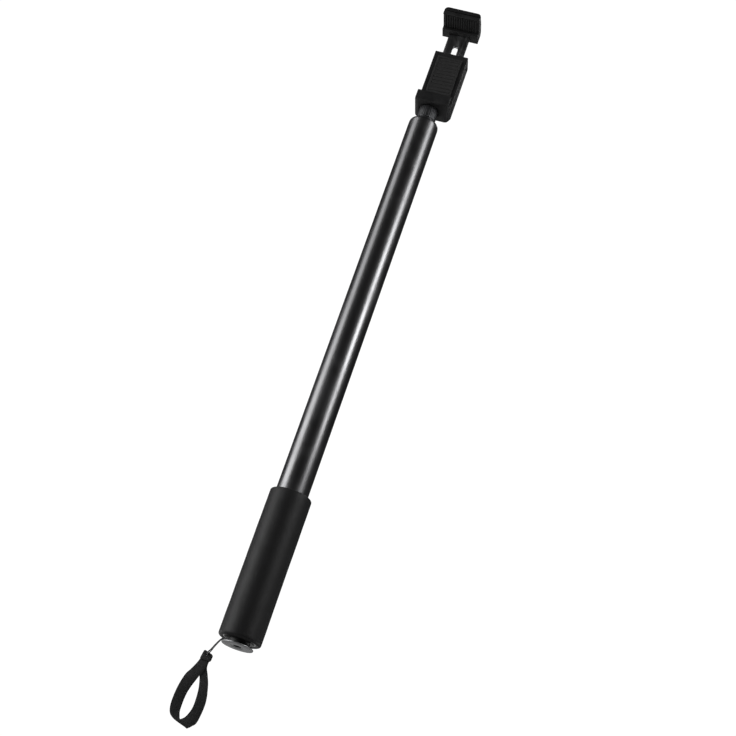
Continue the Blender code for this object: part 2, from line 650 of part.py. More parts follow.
def build_strap():
    groove = CAP_FACE + 3.1 * MM
    hang = 2.05 * MM  # half the distance between the strands at the keeper
    turn_height = EYE.z + 1.9 * MM
    down = [
        (-8.4 * MM, -0.7 * MM, groove),
        (-10.2 * MM, -0.7 * MM, groove),
        (-11.7 * MM, -0.7 * MM, groove - 0.4 * MM),
        (-13.0 * MM, -0.75 * MM, groove - 2.0 * MM),
        (-14.4 * MM, -0.9 * MM, groove - 4.7 * MM),
        (-15.7 * MM, -1.15 * MM, groove - 7.7 * MM),
        (-16.8 * MM, -1.55 * MM, groove - 10.5 * MM),
    ]
    bend = []
    for degrees in (0, 45, 90, 135, 180):
        angle = math.radians(degrees)
        bend.append((EYE.x, -hang * math.cos(angle), turn_height - hang * math.sin(angle)))
    back = [(x, -y, z) for x, y, z in reversed(down)]
    route = down + bend + back
    curve = bpy.data.curves.new("strap_cord", "CURVE")
    curve.dimensions = "3D"
    curve.bevel_depth = CORD_RADIUS
    curve.bevel_resolution = 2
    curve.use_fill_caps = True
    points = smooth_route(route, 2)
    spline = curve.splines.new("POLY")
    spline.points.add(len(points) - 1)
    for slot, point in zip(spline.points, points):
        slot.co = (*point, 1.0)
    curve.materials.append(CORD)
    cord = bpy.data.objects.new("strap_cord", curve)
    bpy.context.collection.objects.link(cord)

    swing = axis_empty("strap_swing", EYE)
    down_from_cap = Vector((0.0, 0.0, CAP_FACE)) - EYE

    def at(points):
        return [
            (x * MM + down_from_cap.x, z * MM + down_from_cap.z) for x, z in points
        ]

    half = WEBBING_THICKNESS
    keeper = extruded("strap_keeper", at([
        (-20.9, -9.3), (-20.2, -8.8), (-14.9, -10.5), (-14.4, -11.2), (-14.6, -14.6),
        (-15.3, -15.4), (-21.6, -15.4), (-21.9, -14.6),
    ]), -half, half, WEBBING, swing, along="Y", round_ends=0.3 * MM)
    eyelet = axis_empty("eyelet_axis", (0.0, 0.0, 0.0), (-math.pi / 2, 0.0, 0.0), swing)
    cut(keeper, turned(
        "eyelet", rod_profile(EYELET_RADIUS, -2 * half, 2 * half), WEBBING, eyelet, steps=16
    ))
    outside = smooth_route(at([
        (-21.6, -15.8), (-22.6, -18.9), (-27.7, -29.8), (-30.2, -41.0), (-30.1, -53.4),
        (-25.4, -58.8), (-14.0, -63.1), (-9.4, -56.6), (-7.6, -43.5), (-9.6, -31.8),
        (-12.4, -24.6), (-14.9, -19.8), (-15.5, -15.8),
    ]), 2)
    loop = extruded(
        "strap_loop", [tuple(p) for p in outside], -half / 2, half / 2, WEBBING, swing, along="Y",
    )
    inside = smooth_route(at([
        (-18.2, -27.8), (-22.4, -40.0), (-23.1, -52.0), (-20.6, -59.0),
        (-16.0, -56.6), (-12.8, -48.6), (-13.9, -37.3), (-16.4, -28.6),
    ]), 2, closed=True)
    cut(loop, extruded(
        "finger_gap", [tuple(p) for p in inside], -half, half, WEBBING, swing, along="Y",
    ))


tube_bottom, plug_top = build_grip_end()
top_parent, travels = build_tubes(tube_bottom, plug_top)
build_head(top_parent)
swivel = axis_empty("clamp_swivel", (0.0, 0.0, CLAMP_BOTTOM), parent=top_parent)
clamp = axis_empty("clamp_middle", (CLAMP_OFFSET, 0.0, 0.0), parent=swivel)
clamp_body = build_clamp_shell(swivel, clamp)
build_cover(clamp, clamp_body)
build_pads(clamp)
build_slide(clamp)
build_lock(clamp)
build_strap()
for number, travel in enumerate(travels, start=2):
    print(f"tube_{number} travels {travel:.4f} m")
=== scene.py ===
"""Looks of a telescopic selfie stick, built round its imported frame.

The stick stands along +Z with the grip at the bottom, and the clamp's phone side faces -Y.
Sections follow the order in which the stick is put together, after the camera and the cord.
"""

import math

import bmesh
import bpy
from mathutils import Matrix, Vector, noise


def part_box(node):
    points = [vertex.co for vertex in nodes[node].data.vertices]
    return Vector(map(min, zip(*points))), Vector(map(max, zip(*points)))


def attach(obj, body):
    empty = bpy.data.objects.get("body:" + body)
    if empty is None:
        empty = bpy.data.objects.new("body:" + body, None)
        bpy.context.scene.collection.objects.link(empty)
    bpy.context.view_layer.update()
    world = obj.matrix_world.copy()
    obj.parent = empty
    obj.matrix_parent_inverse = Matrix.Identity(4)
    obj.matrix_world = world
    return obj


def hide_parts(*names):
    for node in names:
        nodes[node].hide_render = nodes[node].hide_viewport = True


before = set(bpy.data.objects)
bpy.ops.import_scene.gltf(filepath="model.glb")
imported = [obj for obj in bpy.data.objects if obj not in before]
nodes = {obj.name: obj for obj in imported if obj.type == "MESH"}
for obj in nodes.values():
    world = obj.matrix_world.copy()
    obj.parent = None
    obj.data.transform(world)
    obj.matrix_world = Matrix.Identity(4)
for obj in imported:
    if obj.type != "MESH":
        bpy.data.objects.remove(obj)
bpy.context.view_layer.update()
MM = 0.001


# Camera and studio
# The stick is seen from in front and a little below, leaning across the picture.
# Tall soft boxes stand on its left and right, low lamps and a high one behind it, and the room
# is plain white.

camera_place = Vector((0.20685, -1.02182, -0.26596))
looks_along = Vector((-0.1635, 0.9073, 0.3875)).normalized()
rightward = looks_along.cross(Vector((-0.2589, -0.4185, 0.8705))).normalized()
upward = rightward.cross(looks_along)
camera = bpy.data.objects.new("studio_camera", bpy.data.cameras.new("studio_camera"))
camera.data.lens = 72.62
camera.data.sensor_width = 36.0
camera.matrix_world = Matrix.Translation(camera_place) @ Matrix(
    (rightward, upward, -looks_along)
).transposed().to_4x4()
bpy.context.scene.collection.objects.link(camera)
bpy.context.scene.camera = camera
bpy.context.scene.view_settings.view_transform = "Standard"


def soft_box(name, place, facing, width, height, brightness):
    """A flat lamp behind a diffuser that faces a point; its brightness is per square metre."""
    lamp = bpy.data.objects.new(name, bpy.data.lights.new(name, "AREA"))
    lamp.data.shape = "RECTANGLE"
    lamp.data.size = width
    lamp.data.size_y = height
    lamp.data.energy = math.pi * width * height * brightness
    lamp.location = place
    lamp.rotation_euler = (Vector(facing) - Vector(place)).to_track_quat("-Z", "Y").to_euler()
    lamp.visible_camera = False
    bpy.context.scene.collection.objects.link(lamp)


grip_side, tube_side = (0.0, 0.0, 0.05), (0.0, 0.0, 0.6)
soft_box("left_low_soft_box", (-1.11, -0.45, 0.1), grip_side, 0.84, 0.9, 6.0)
soft_box("left_high_soft_box", (-1.08, -0.5, 1.0), tube_side, 0.72, 0.9, 3.1)
soft_box("right_low_soft_box", (1.1, -0.56, 0.66), tube_side, 0.48, 0.44, 14.0)
soft_box("right_high_soft_box", (1.18, -0.42, 1.3), tube_side, 0.54, 0.7, 5.5)
soft_box("low_back_soft_box", (-0.25, 1.1, -0.32), grip_side, 0.6, 0.35, 0.9)
soft_box("back_left_soft_box", (-1.0, 0.75, -0.35), grip_side, 0.4, 0.7, 4.0)
soft_box("back_right_soft_box", (1.0, 0.7, -0.35), grip_side, 0.3, 0.7, 4.0)
soft_box("top_back_soft_box", (0.2, 1.0, 1.7), grip_side, 1.0, 0.6, 3.0)

room = bpy.data.worlds.new("white_room")
bpy.context.scene.world = room
room.use_nodes = True
room_nodes = room.node_tree.nodes
room_light = room_nodes["Background"]
room_light.inputs["Color"].default_value = (1.0, 1.0, 1.0, 1.0)
room_light.inputs["Strength"].default_value = 0.02
room_seen = room_nodes.new("ShaderNodeBackground")
room_seen.inputs["Color"].default_value = (1.0, 1.0, 1.0, 1.0)
room_seen.inputs["Strength"].default_value = 1.05
ray_kind = room_nodes.new("ShaderNodeLightPath")
room_mix = room_nodes.new("ShaderNodeMixShader")
for source, target in (
    (ray_kind.outputs["Is Camera Ray"], room_mix.inputs[0]),
    (room_light.outputs[0], room_mix.inputs[1]),
    (room_seen.outputs[0], room_mix.inputs[2]),
    (room_mix.outputs[0], room_nodes["World Output"].inputs["Surface"]),
):
    room.node_tree.links.new(source, target)

floor_height = -1.3
bm = bmesh.new()
bmesh.ops.create_grid(bm, x_segments=1, y_segments=1, size=6.0)
bmesh.ops.translate(bm, verts=bm.verts, vec=(0.0, 0.0, floor_height))
floor_mesh = bpy.data.meshes.new("studio_floor")
bm.to_mesh(floor_mesh)
bm.free()
floor_paint = bpy.data.materials.new("pale_floor")
floor_paint.use_nodes = True
floor_tree = floor_paint.node_tree
floor_shader = floor_tree.nodes["Principled BSDF"]
floor_shader.inputs["Base Color"].default_value = (0.86, 0.86, 0.86, 1.0)
floor_shader.inputs["Roughness"].default_value = 0.9
floor_shader.inputs["Emission Color"].default_value = (0.95, 0.95, 0.95, 1.0)
seen = floor_tree.nodes.new("ShaderNodeLightPath")
floor_tree.links.new(seen.outputs["Is Camera Ray"], floor_shader.inputs["Emission Strength"])
floor_mesh.materials.append(floor_paint)
studio_floor = bpy.data.objects.new("studio_floor", floor_mesh)
bpy.context.scene.collection.objects.link(studio_floor)


# Wrist cord
# A thin charcoal cord laid from three twisted strands. Both of its ends are held in the groove
# above the end cap, and its bight runs through the eyelet of the strap's stitched head.

def shade(tree, kind, settings=None, **values):
    """A shader node with its settings made and its inputs set or wired; in0, in1 go by number."""
    made = tree.nodes.new("ShaderNode" + kind)
    for setting, value in (settings or {}).items():
        setattr(made, setting, value)
    for name, value in values.items():
        numbered = name[:2] == "in" and name[2:].isdigit()
        socket = made.inputs[int(name[2:]) if numbered else name.replace("_", " ")]
        if isinstance(value, bpy.types.NodeSocket):
            tree.links.new(value, socket)
        else:
            socket.default_value = value
    return made


def new_group(name, inputs, outputs):
    """An empty node group with number inputs, each with its usual value, and number outputs."""
    group = bpy.data.node_groups.new(name, "ShaderNodeTree")
    for label, usual in inputs.items():
        socket = group.interface.new_socket(label, in_out="INPUT", socket_type="NodeSocketFloat")
        socket.default_value = usual
    for label in outputs:
        group.interface.new_socket(label, in_out="OUTPUT", socket_type="NodeSocketFloat")
    return group, group.nodes.new("NodeGroupInput"), group.nodes.new("NodeGroupOutput")


def placed(tree, group, **values):
    """The group as a node of this material, with its own values."""
    return shade(tree, "Group", {"node_tree": group}, **values)


def make_grain_group():
    """Fine grain of a given size, and slow patches a few tens of times larger."""
    group, given, result = new_group(
        "fine_grain", {"Grain mm": 0.3, "Patch mm": 14.0}, ("Height", "Patches")
    )
    where = shade(group, "TexCoord").outputs["Object"]
    for size, detail, output in (("Grain mm", 4.0, "Height"), ("Patch mm", 2.0, "Patches")):
        scale = shade(
            group, "Math", {"operation": "DIVIDE"}, in0=1 / MM, in1=given.outputs[size]
        ).outputs[0]
        texture = shade(group, "TexNoise", Vector=where, Scale=scale, Detail=detail, Roughness=0.6)
        group.links.new(texture.outputs["Fac"], result.inputs[output])
    return group


fine_grain = make_grain_group()


def new_look(name, colour, roughness, metallic=0.0, **others):
    """A material with its plain values; its node tree and shader come with it."""
    look = bpy.data.materials.new(name)
    look.use_nodes = True
    shader = look.node_tree.nodes["Principled BSDF"]
    shader.inputs["Base Color"].default_value = (*colour, 1.0)
    shader.inputs["Roughness"].default_value = roughness
    shader.inputs["Metallic"].default_value = metallic
    for label, value in others.items():
        shader.inputs[label.replace("_", " ")].default_value = value
    return look, look.node_tree, shader


def tint(tree, shader, dark, light, by):
    """Vary the base colour between two tones by a mask."""
    mix = shade(tree, "Mix", {"data_type": "RGBA"}, in0=by, in6=(*dark, 1.0), in7=(*light, 1.0))
    tree.links.new(mix.outputs[2], shader.inputs["Base Color"])


def spread_roughness(tree, shader, low, high, by):
    """Vary the roughness between two values by a mask."""
    span = shade(tree, "MapRange", Value=by, To_Min=low, To_Max=high)
    tree.links.new(span.outputs[0], shader.inputs["Roughness"])


def raise_surface(tree, shader, height, depth, strength=1.0, over=None):
    """Bump the surface by a height, to a depth in metres, on top of an earlier bump if given."""
    bump = shade(tree, "Bump", Height=height, Distance=depth, Strength=strength)
    if over is not None:
        tree.links.new(over.outputs[0], bump.inputs["Normal"])
    tree.links.new(bump.outputs[0], shader.inputs["Normal"])
    return bump


cord_look, tree, shader = new_look(
    "charcoal_cord", (0.14, 0.14, 0.143), 0.72, Sheen_Weight=0.25, Sheen_Roughness=0.5
)
fibres = placed(tree, fine_grain, Grain_mm=0.09, Patch_mm=2.5)
tint(tree, shader, (0.08, 0.08, 0.082), (0.22, 0.22, 0.224), fibres.outputs["Height"])
spread_roughness(tree, shader, 0.6, 0.85, fibres.outputs["Patches"])
raise_surface(tree, shader, fibres.outputs["Height"], 0.05 * MM)


def smooth_route(points, steps, closed=False):
    """A Catmull-Rom curve through the points, with this many steps between each two."""
    count = len(points)
    curve = []
    for i in range(count if closed else count - 1):
        b, c = Vector(points[i]), Vector(points[(i + 1) % count])
        a = Vector(points[i - 1]) if i or closed else 2 * b - c
        d = Vector(points[(i + 2) % count]) if i + 2 < count or closed else 2 * c - b
        for k in range(steps):
            t = k / steps
            curve.append(0.5 * (
                2 * b + (c - a) * t + (2 * a - 5 * b + 4 * c - d) * t**2
                + (3 * b - a - 3 * c + d) * t**3
            ))
    if not closed:
        curve.append(Vector(points[-1]))
    return curve


def frames_along(points):
    """A matrix at each point, its Z along the route, twisting no more than the route does."""
    ways = [(b - a).normalized() for a, b in zip(points, points[1:])]
    ways.append(ways[-1])
    turn = Vector((0.0, 0.0, 1.0)).rotation_difference(ways[0])
    frames = []
    for point, way, before in zip(points, ways, [ways[0]] + ways):
        turn = before.rotation_difference(way) @ turn
        frames.append(Matrix.Translation(point) @ turn.to_matrix().to_4x4())
    return frames


def grow_ring(bm, ring):
    """Extrude a closed loop of edges; returns the new points and the new loop."""
    grown = bmesh.ops.extrude_edge_only(bm, edges=ring)["geom"]
    points = [g for g in grown if isinstance(g, bmesh.types.BMVert)]
    known = set(points)
    loop = [g for g in grown if isinstance(g, bmesh.types.BMEdge) and known.issuperset(g.verts)]
    return points, loop


def sweep_strand(bm, frames, radius, sides):
    """A round strand with closed ends along the frames."""
    started = bmesh.ops.create_circle(
        bm, cap_ends=True, radius=radius, segments=sides, matrix=frames[0]
    )["verts"]
    known = set(started)
    ring = [e for e in {e for v in started for e in v.link_edges} if known.issuperset(e.verts)]
    for before, here in zip(frames, frames[1:]):
        points, ring = grow_ring(bm, ring)
        bmesh.ops.transform(bm, matrix=here @ before.inverted(), verts=points)
    bmesh.ops.edgeloop_fill(bm, edges=ring)


def finished(bm, name, look, body, material_slot, *stands_for, crease=35.0):
    """Turn the bmesh into a piece that rides on its body and stands for its CAD nodes."""
    bmesh.ops.remove_doubles(bm, verts=bm.verts, dist=1e-6)
    bmesh.ops.recalc_face_normals(bm, faces=bm.faces)
    mesh = bpy.data.meshes.new(name)
    bm.to_mesh(mesh)
    bm.free()
    mesh.shade_smooth()
    mesh.set_sharp_from_angle(angle=math.radians(crease))
    mesh.materials.append(look)
    piece = bpy.data.objects.new(name, mesh)
    bpy.context.scene.collection.objects.link(piece)
    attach(piece, body)
    if stands_for:
        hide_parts(*stands_for)
    return piece


cap_low, cap_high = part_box("end_cap")
cap_face = cap_low.z
cord_radius = 0.5 * MM
strand_radius = 0.26 * MM
strands = 3
lay_length = 2.6 * MM
groove = cap_face + 3.1 * MM
eye = Vector((-17.9 * MM, 0.0, cap_face - 11.4 * MM))
hang = 2.05 * MM
turn_height = eye.z + 1.9 * MM
down = [
    (-8.4 * MM, -0.7 * MM, groove),
    (-10.2 * MM, -0.7 * MM, groove),
    (-11.7 * MM, -0.7 * MM, groove - 0.4 * MM),
    (-13.0 * MM, -0.75 * MM, groove - 2.0 * MM),
    (-14.4 * MM, -0.9 * MM, groove - 4.7 * MM),
    (-15.7 * MM, -1.15 * MM, groove - 7.7 * MM),
    (-16.8 * MM, -1.55 * MM, groove - 10.5 * MM),
]
bend = []
for degrees in (0, 45, 90, 135, 180):
    angle = math.radians(degrees)
    bend.append((eye.x, -hang * math.cos(angle), turn_height - hang * math.sin(angle)))
back = [(x, -y, z) for x, y, z in reversed(down)]
cord_line = smooth_route(down + bend + back, 8)
bm = bmesh.new()
for strand in range(strands):
    travelled = 0.0
    strand_line = []
    for place, before in zip(frames_along(cord_line), [cord_line[0]] + cord_line):
        travelled += (place.translation - before).length
        angle = math.tau * (travelled / lay_length + strand / strands)
        offset = (cord_radius - strand_radius) * Vector((math.cos(angle), math.sin(angle), 0.0))
        strand_line.append(place @ offset)
    sweep_strand(bm, frames_along(strand_line), strand_radius, 8)
wrist_cord = finished(
    bm, "twisted_wrist_cord", cord_look, "grip", "charcoal_cord", "strap_cord"
)


# End cap and its tripod thread
# A grey aluminium disc turned on a lathe and bored for a steel insert. The insert carries the
# tripod thread and is pressed in a little below the face.

def softened(corners, steps=4):
    """A profile with rounded corners: each corner is (across, up, rounding)."""
    points = []
    for here, before, after in zip(corners, corners[-1:] + corners[:-1], corners[1:] + corners[:1]):
        corner = Vector(here[:2])
        if not here[2]:
            points.append(corner)
            continue
        to_before = (Vector(before[:2]) - corner).normalized()
        to_after = (Vector(after[:2]) - corner).normalized()
        half = to_before.angle(to_after) / 2
        reach = here[2] / math.tan(half)
        centre = corner + (to_before + to_after).normalized() * here[2] / math.sin(half)
        first = (corner + to_before * reach - centre).normalized()
        last = (corner + to_after * reach - centre).normalized()
        for i in range(steps + 1):
            points.append(centre + first.slerp(last, i / steps) * here[2])
    return points


def lathe(bm, corners, sides=128, centre=(0.0, 0.0, 0.0), axis="Z"):
    """Turn a profile of (radius, height, rounding) corners, in millimetres, round an axis."""
    profile = [p * MM for p in softened(corners)]
    points = [bm.verts.new((p.x, 0.0, p.y)) for p in profile]
    edges = [bm.edges.new(pair) for pair in zip(points, points[1:])]
    if corners[0][0] > 0 or corners[-1][0] > 0:
        edges.append(bm.edges.new((points[-1], points[0])))
    before = set(bm.verts) - set(points)
    bmesh.ops.spin(
        bm, geom=points + edges, cent=(0, 0, 0), axis=(0, 0, 1),
        angle=math.tau, steps=sides, use_merge=True,
    )
    made = [v for v in bm.verts if v not in before]
    bmesh.ops.remove_doubles(bm, verts=made, dist=1e-6)
    made = [v for v in bm.verts if v not in before]
    turn = Matrix.Rotation(-math.pi / 2, 4, "X") if axis == "Y" else Matrix.Identity(4)
    bmesh.ops.transform(bm, matrix=Matrix.Translation(centre) @ turn, verts=made)
    return made


def cut_thread(bm, root, crest, pitch, bottom, top):
    """A helical ridge from the root radius to the crest radius, in millimetres."""
    steps = 32
    turns = (top - bottom) / pitch - 1
    ridge = [(root, bottom), (crest, bottom + 0.45 * pitch), (crest, bottom + 0.55 * pitch),
             (root, bottom + 0.95 * pitch)]
    start = bm.faces.new([bm.verts.new((r * MM, 0.0, z * MM)) for r, z in ridge])
    bmesh.ops.spin(
        bm, geom=[start], cent=(0, 0, 0), axis=(0, 0, 1), angle=math.tau * turns,
        steps=int(steps * turns), dvec=(0.0, 0.0, pitch * MM / steps),
    )


def make_turning_group():
    """Fine rings left by a lathe tool round the Z axis, as heights from 0 to 1."""
    group, given, result = new_group("turning_marks", {"Pitch mm": 0.12}, ("Height", "Rings"))
    where = shade(group, "TexCoord").outputs["Object"]
    flat = shade(group, "VectorMath", {"operation": "MULTIPLY"}, in0=where, in1=(1.0, 1.0, 0.0))
    radius = shade(group, "VectorMath", {"operation": "LENGTH"}, in0=flat.outputs[0])
    height = shade(group, "SeparateXYZ", in0=where)
    along = shade(group, "Math", in0=radius.outputs["Value"], in1=height.outputs["Z"]).outputs[0]
    scale = shade(group, "Math", {"operation": "DIVIDE"}, in0=1 / MM, in1=given.outputs["Pitch mm"])
    rings = shade(
        group, "TexNoise", {"noise_dimensions": "1D"}, W=along, Scale=scale.outputs[0],
        Detail=2.0, Roughness=0.7,
    )
    broad = shade(group, "TexNoise", {"noise_dimensions": "1D"}, W=along, Scale=1100.0, Detail=1.0)
    group.links.new(rings.outputs["Fac"], result.inputs["Height"])
    group.links.new(broad.outputs["Fac"], result.inputs["Rings"])
    return group


turning_marks = make_turning_group()

aluminium_look, tree, shader = new_look("turned_grey_aluminium", (0.3, 0.305, 0.31), 0.42, 1.0)
marks = placed(tree, turning_marks, Pitch_mm=0.11)
stains = placed(tree, fine_grain, Grain_mm=0.5, Patch_mm=5.0)
tint(tree, shader, (0.19, 0.193, 0.198), (0.35, 0.354, 0.36), marks.outputs["Rings"])
spread_roughness(tree, shader, 0.42, 0.58, stains.outputs["Patches"])
raise_surface(tree, shader, marks.outputs["Height"], 0.012 * MM)

steel_look, tree, shader = new_look("zinc_plated_steel", (0.55, 0.56, 0.57), 0.3, 1.0)
zinc = placed(tree, fine_grain, Grain_mm=0.35, Patch_mm=3.0)
tint(tree, shader, (0.42, 0.43, 0.45), (0.62, 0.62, 0.61), zinc.outputs["Patches"])
spread_roughness(tree, shader, 0.2, 0.42, zinc.outputs["Height"])
raise_surface(tree, shader, zinc.outputs["Height"], 0.008 * MM)

cap = cap_face / MM
spigot_top = cap_high.z / MM
rim = 1.1
bm = bmesh.new()
lathe(bm, [
    (4.35, cap + 0.25, 0.0), (4.75, cap + 0.25, 0.0), (5.0, cap, 0.12), (11.8, cap, 0.4),
    (11.8, cap + rim, 0.45), (5.6, cap + rim, 0.0), (5.6, spigot_top, 0.2), (4.35, spigot_top, 0.0),
])
finished(bm, "turned_end_cap", aluminium_look, "grip", "grey_metal", "end_cap")
bm = bmesh.new()
insert_bottom = cap + 0.2
lathe(bm, [
    (3.22, insert_bottom, 0.35), (4.2, insert_bottom, 0.15), (4.2, spigot_top, 0.1),
    (3.22, spigot_top, 0.1),
], 96)
finished(bm, "tripod_insert_sleeve", aluminium_look, "grip", "zinc_steel", "thread_insert")

# The tripod thread is given a near-black colour. This is painted shade that makes the bored hole look
# dark, and its slow patches differ at random.
thread_shade_look, tree, shader = new_look("thread_painted_hole_shade", (0.03, 0.03, 0.031), 0.5, 0.6)
thread_mottle = placed(tree, fine_grain, Grain_mm=0.3, Patch_mm=2.0)
tint(tree, shader, (0.018, 0.018, 0.019), (0.05, 0.05, 0.05), thread_mottle.outputs["Patches"])
spread_roughness(tree, shader, 0.4, 0.62, thread_mottle.outputs["Height"])
raise_surface(tree, shader, thread_mottle.outputs["Height"], 0.01 * MM)
bm = bmesh.new()
lathe(bm, [
    (3.1, insert_bottom + 0.4, 0.0), (3.24, insert_bottom + 0.4, 0.0),
    (3.24, spigot_top - 0.1, 0.0), (3.1, spigot_top - 0.1, 0.0),
], 64)
cut_thread(bm, 3.12, 2.62, 1.27, insert_bottom + 0.5, spigot_top - 0.3)
finished(bm, "tripod_thread", thread_shade_look, "grip", "zinc_steel")


# End plug
# A black plastic plug pressed into the tube's foot. It carries the cap, and the cord's ends are
# held in the narrow neck that it leaves above the cap.

def make_wear_group():
    """Soft smudges left by hands, and a few hair-fine scratches that run mostly along Z."""
    group, given, result = new_group(
        "light_wear", {"Smudge mm": 18.0, "Scratch mm": 1.4}, ("Smudges", "Scratches")
    )
    where = shade(group, "TexCoord").outputs["Object"]
    scale = shade(
        group, "Math", {"operation": "DIVIDE"}, in0=1 / MM, in1=given.outputs["Smudge mm"]
    )
    smudges = shade(
        group, "TexNoise", Vector=where, Scale=scale.outputs[0], Detail=3.0, Roughness=0.55,
        Distortion=0.6,
    )
    soft = shade(
        group, "MapRange", {"interpolation_type": "SMOOTHSTEP"}, Value=smudges.outputs["Fac"],
        From_Min=0.42, From_Max=0.72,
    )
    drawn = shade(
        group, "Mapping", Vector=where, Rotation=(0.06, 0.04, 0.0), Scale=(1.0, 1.0, 0.03)
    )
    scale = shade(
        group, "Math", {"operation": "DIVIDE"}, in0=1 / MM, in1=given.outputs["Scratch mm"]
    )
    lines = shade(
        group, "TexNoise", Vector=drawn.outputs[0], Scale=scale.outputs[0], Detail=5.0,
        Roughness=0.75,
    )
    fine = shade(group, "MapRange", Value=lines.outputs["Fac"], From_Min=0.66, From_Max=0.74)
    group.links.new(soft.outputs[0], result.inputs["Smudges"])
    group.links.new(fine.outputs[0], result.inputs["Scratches"])
    return group


light_wear = make_wear_group()


def moulded_plastic(name, colour, light, smooth, rough, grain):
    """Injection-moulded plastic: an even spark-eroded grain, and a faint sheen where it is held."""
    look, tree, shader = new_look(name, colour, rough, Specular_IOR_Level=0.38)
    texture = placed(tree, fine_grain, Grain_mm=grain, Patch_mm=9.0)
    wear = placed(tree, light_wear, Smudge_mm=12.0, Scratch_mm=0.9)
    tint(tree, shader, colour, light, texture.outputs["Patches"])
    spread_roughness(tree, shader, rough, smooth, wear.outputs["Smudges"])
    raise_surface(tree, shader, texture.outputs["Height"], 0.03 * MM)
    return look


black_plastic = moulded_plastic(
    "moulded_black_plastic", (0.004, 0.004, 0.0042), (0.009, 0.009, 0.0094), 0.4, 0.54, 0.22
)
plug_low, plug_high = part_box("end_plug")
neck_bottom = cap + rim + 0.3
neck_top = plug_low.z / MM + 2.3
bm = bmesh.new()
lathe(bm, [
    (5.75, neck_bottom, 0.0), (8.0, neck_bottom, 0.25), (8.0, neck_top, 0.3),
    (11.2, neck_top, 0.25), (11.2, plug_high.z / MM, 0.6), (5.75, plug_high.z / MM, 0.3),
], 96)
finished(bm, "moulded_end_plug", black_plastic, "grip", "black_plastic", "end_plug")


# Foam grip
# A sleeve of closed-cell foam pushed over the tube's foot. Its skin is matte with fine open
# cells, its ends are rounded, and its wall gives a little here and there.

foam_look, tree, shader = new_look(
    "charcoal_closed_cell_foam", (0.009, 0.009, 0.0094), 0.6, Sheen_Weight=0.02,
    Sheen_Roughness=0.6, Specular_IOR_Level=0.22,
)
skin = placed(tree, fine_grain, Grain_mm=0.16, Patch_mm=16.0)
cells = shade(
    tree, "TexVoronoi", {"feature": "SMOOTH_F1"}, Vector=shade(tree, "TexCoord").outputs["Object"],
    Scale=1900.0, Smoothness=0.4,
)
open_cells = shade(
    tree, "MapRange", Value=cells.outputs["Distance"], From_Min=0.12, From_Max=0.5
)
# The base colour is darker at the cells' centres, where the bump leaves pits. This is painted shade in the
# pits, multiplied by slow random patches.
pit_shade_and_patches = shade(tree, "Math", {"operation": "MULTIPLY"}, in0=open_cells.outputs[0],
             in1=skin.outputs["Patches"])
tint(tree, shader, (0.003, 0.003, 0.0032), (0.01, 0.01, 0.0104), pit_shade_and_patches.outputs[0])
spread_roughness(tree, shader, 0.45, 0.6, skin.outputs["Height"])
pits = raise_surface(tree, shader, open_cells.outputs[0], 0.07 * MM, 0.7)
raise_surface(tree, shader, skin.outputs["Height"], 0.03 * MM, 0.6, over=pits)

foam_low, foam_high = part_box("foam_grip")
foam_radius = 16.0
foam_bore = 12.4
end_rounding = 1.9
row = 2.0
bottom, top = foam_low.z / MM, foam_high.z / MM
rows = int((top - bottom - 2 * end_rounding) / row)
sides_up = [
    (foam_radius, bottom + end_rounding + (i + 0.5) * row, 0.0) for i in range(rows)
]
bm = bmesh.new()
wall = lathe(bm, [
    (foam_bore, bottom + 0.3, 0.2), (foam_bore + 0.9, bottom, 0.3),
    (foam_radius, bottom, end_rounding), *sides_up, (foam_radius, top, 1.3),
    (foam_bore + 0.9, top, 0.3), (foam_bore, top - 0.3, 0.2),
], 144)
give = 0.1 * MM
for point in wall:
    outward = Vector((point.co.x, point.co.y, 0.0))
    if outward.length > 14.0 * MM:
        swell = noise.noise(point.co / (11.0 * MM)) + 0.4 * noise.noise(point.co / (3.0 * MM))
        point.co += outward.normalized() * give * (swell - 1.0)
foam = finished(bm, "foam_sleeve", foam_look, "grip", "charcoal_foam", "foam_grip", crease=60)


# Telescopic tubes
# Five drawn aluminium tubes, polished and anodised black. The outer tube's mouth is rolled in to
# a rounded shoulder, and the inner tubes are nested in it.

tube_look, tree, shader = new_look(
    "satin_black_anodising", (0.12, 0.12, 0.123), 0.34, 0.97, Coat_Weight=0.12,
    Coat_Roughness=0.2,
)
wear = placed(tree, light_wear, Smudge_mm=26.0, Scratch_mm=1.1)
draw_lines = shade(
    tree, "TexNoise", Vector=shade(
        tree, "Mapping", Vector=shade(tree, "TexCoord").outputs["Object"], Scale=(1.0, 1.0, 0.012)
    ).outputs[0], Scale=2600.0, Detail=2.0,
)
tint(tree, shader, (0.1, 0.1, 0.103), (0.14, 0.14, 0.143), draw_lines.outputs["Fac"])
spread_roughness(tree, shader, 0.31, 0.39, wear.outputs["Smudges"])
drawn = raise_surface(tree, shader, draw_lines.outputs["Fac"], 0.004 * MM, 0.5)
raise_surface(tree, shader, wear.outputs["Scratches"], 0.004 * MM, 0.35, over=drawn)

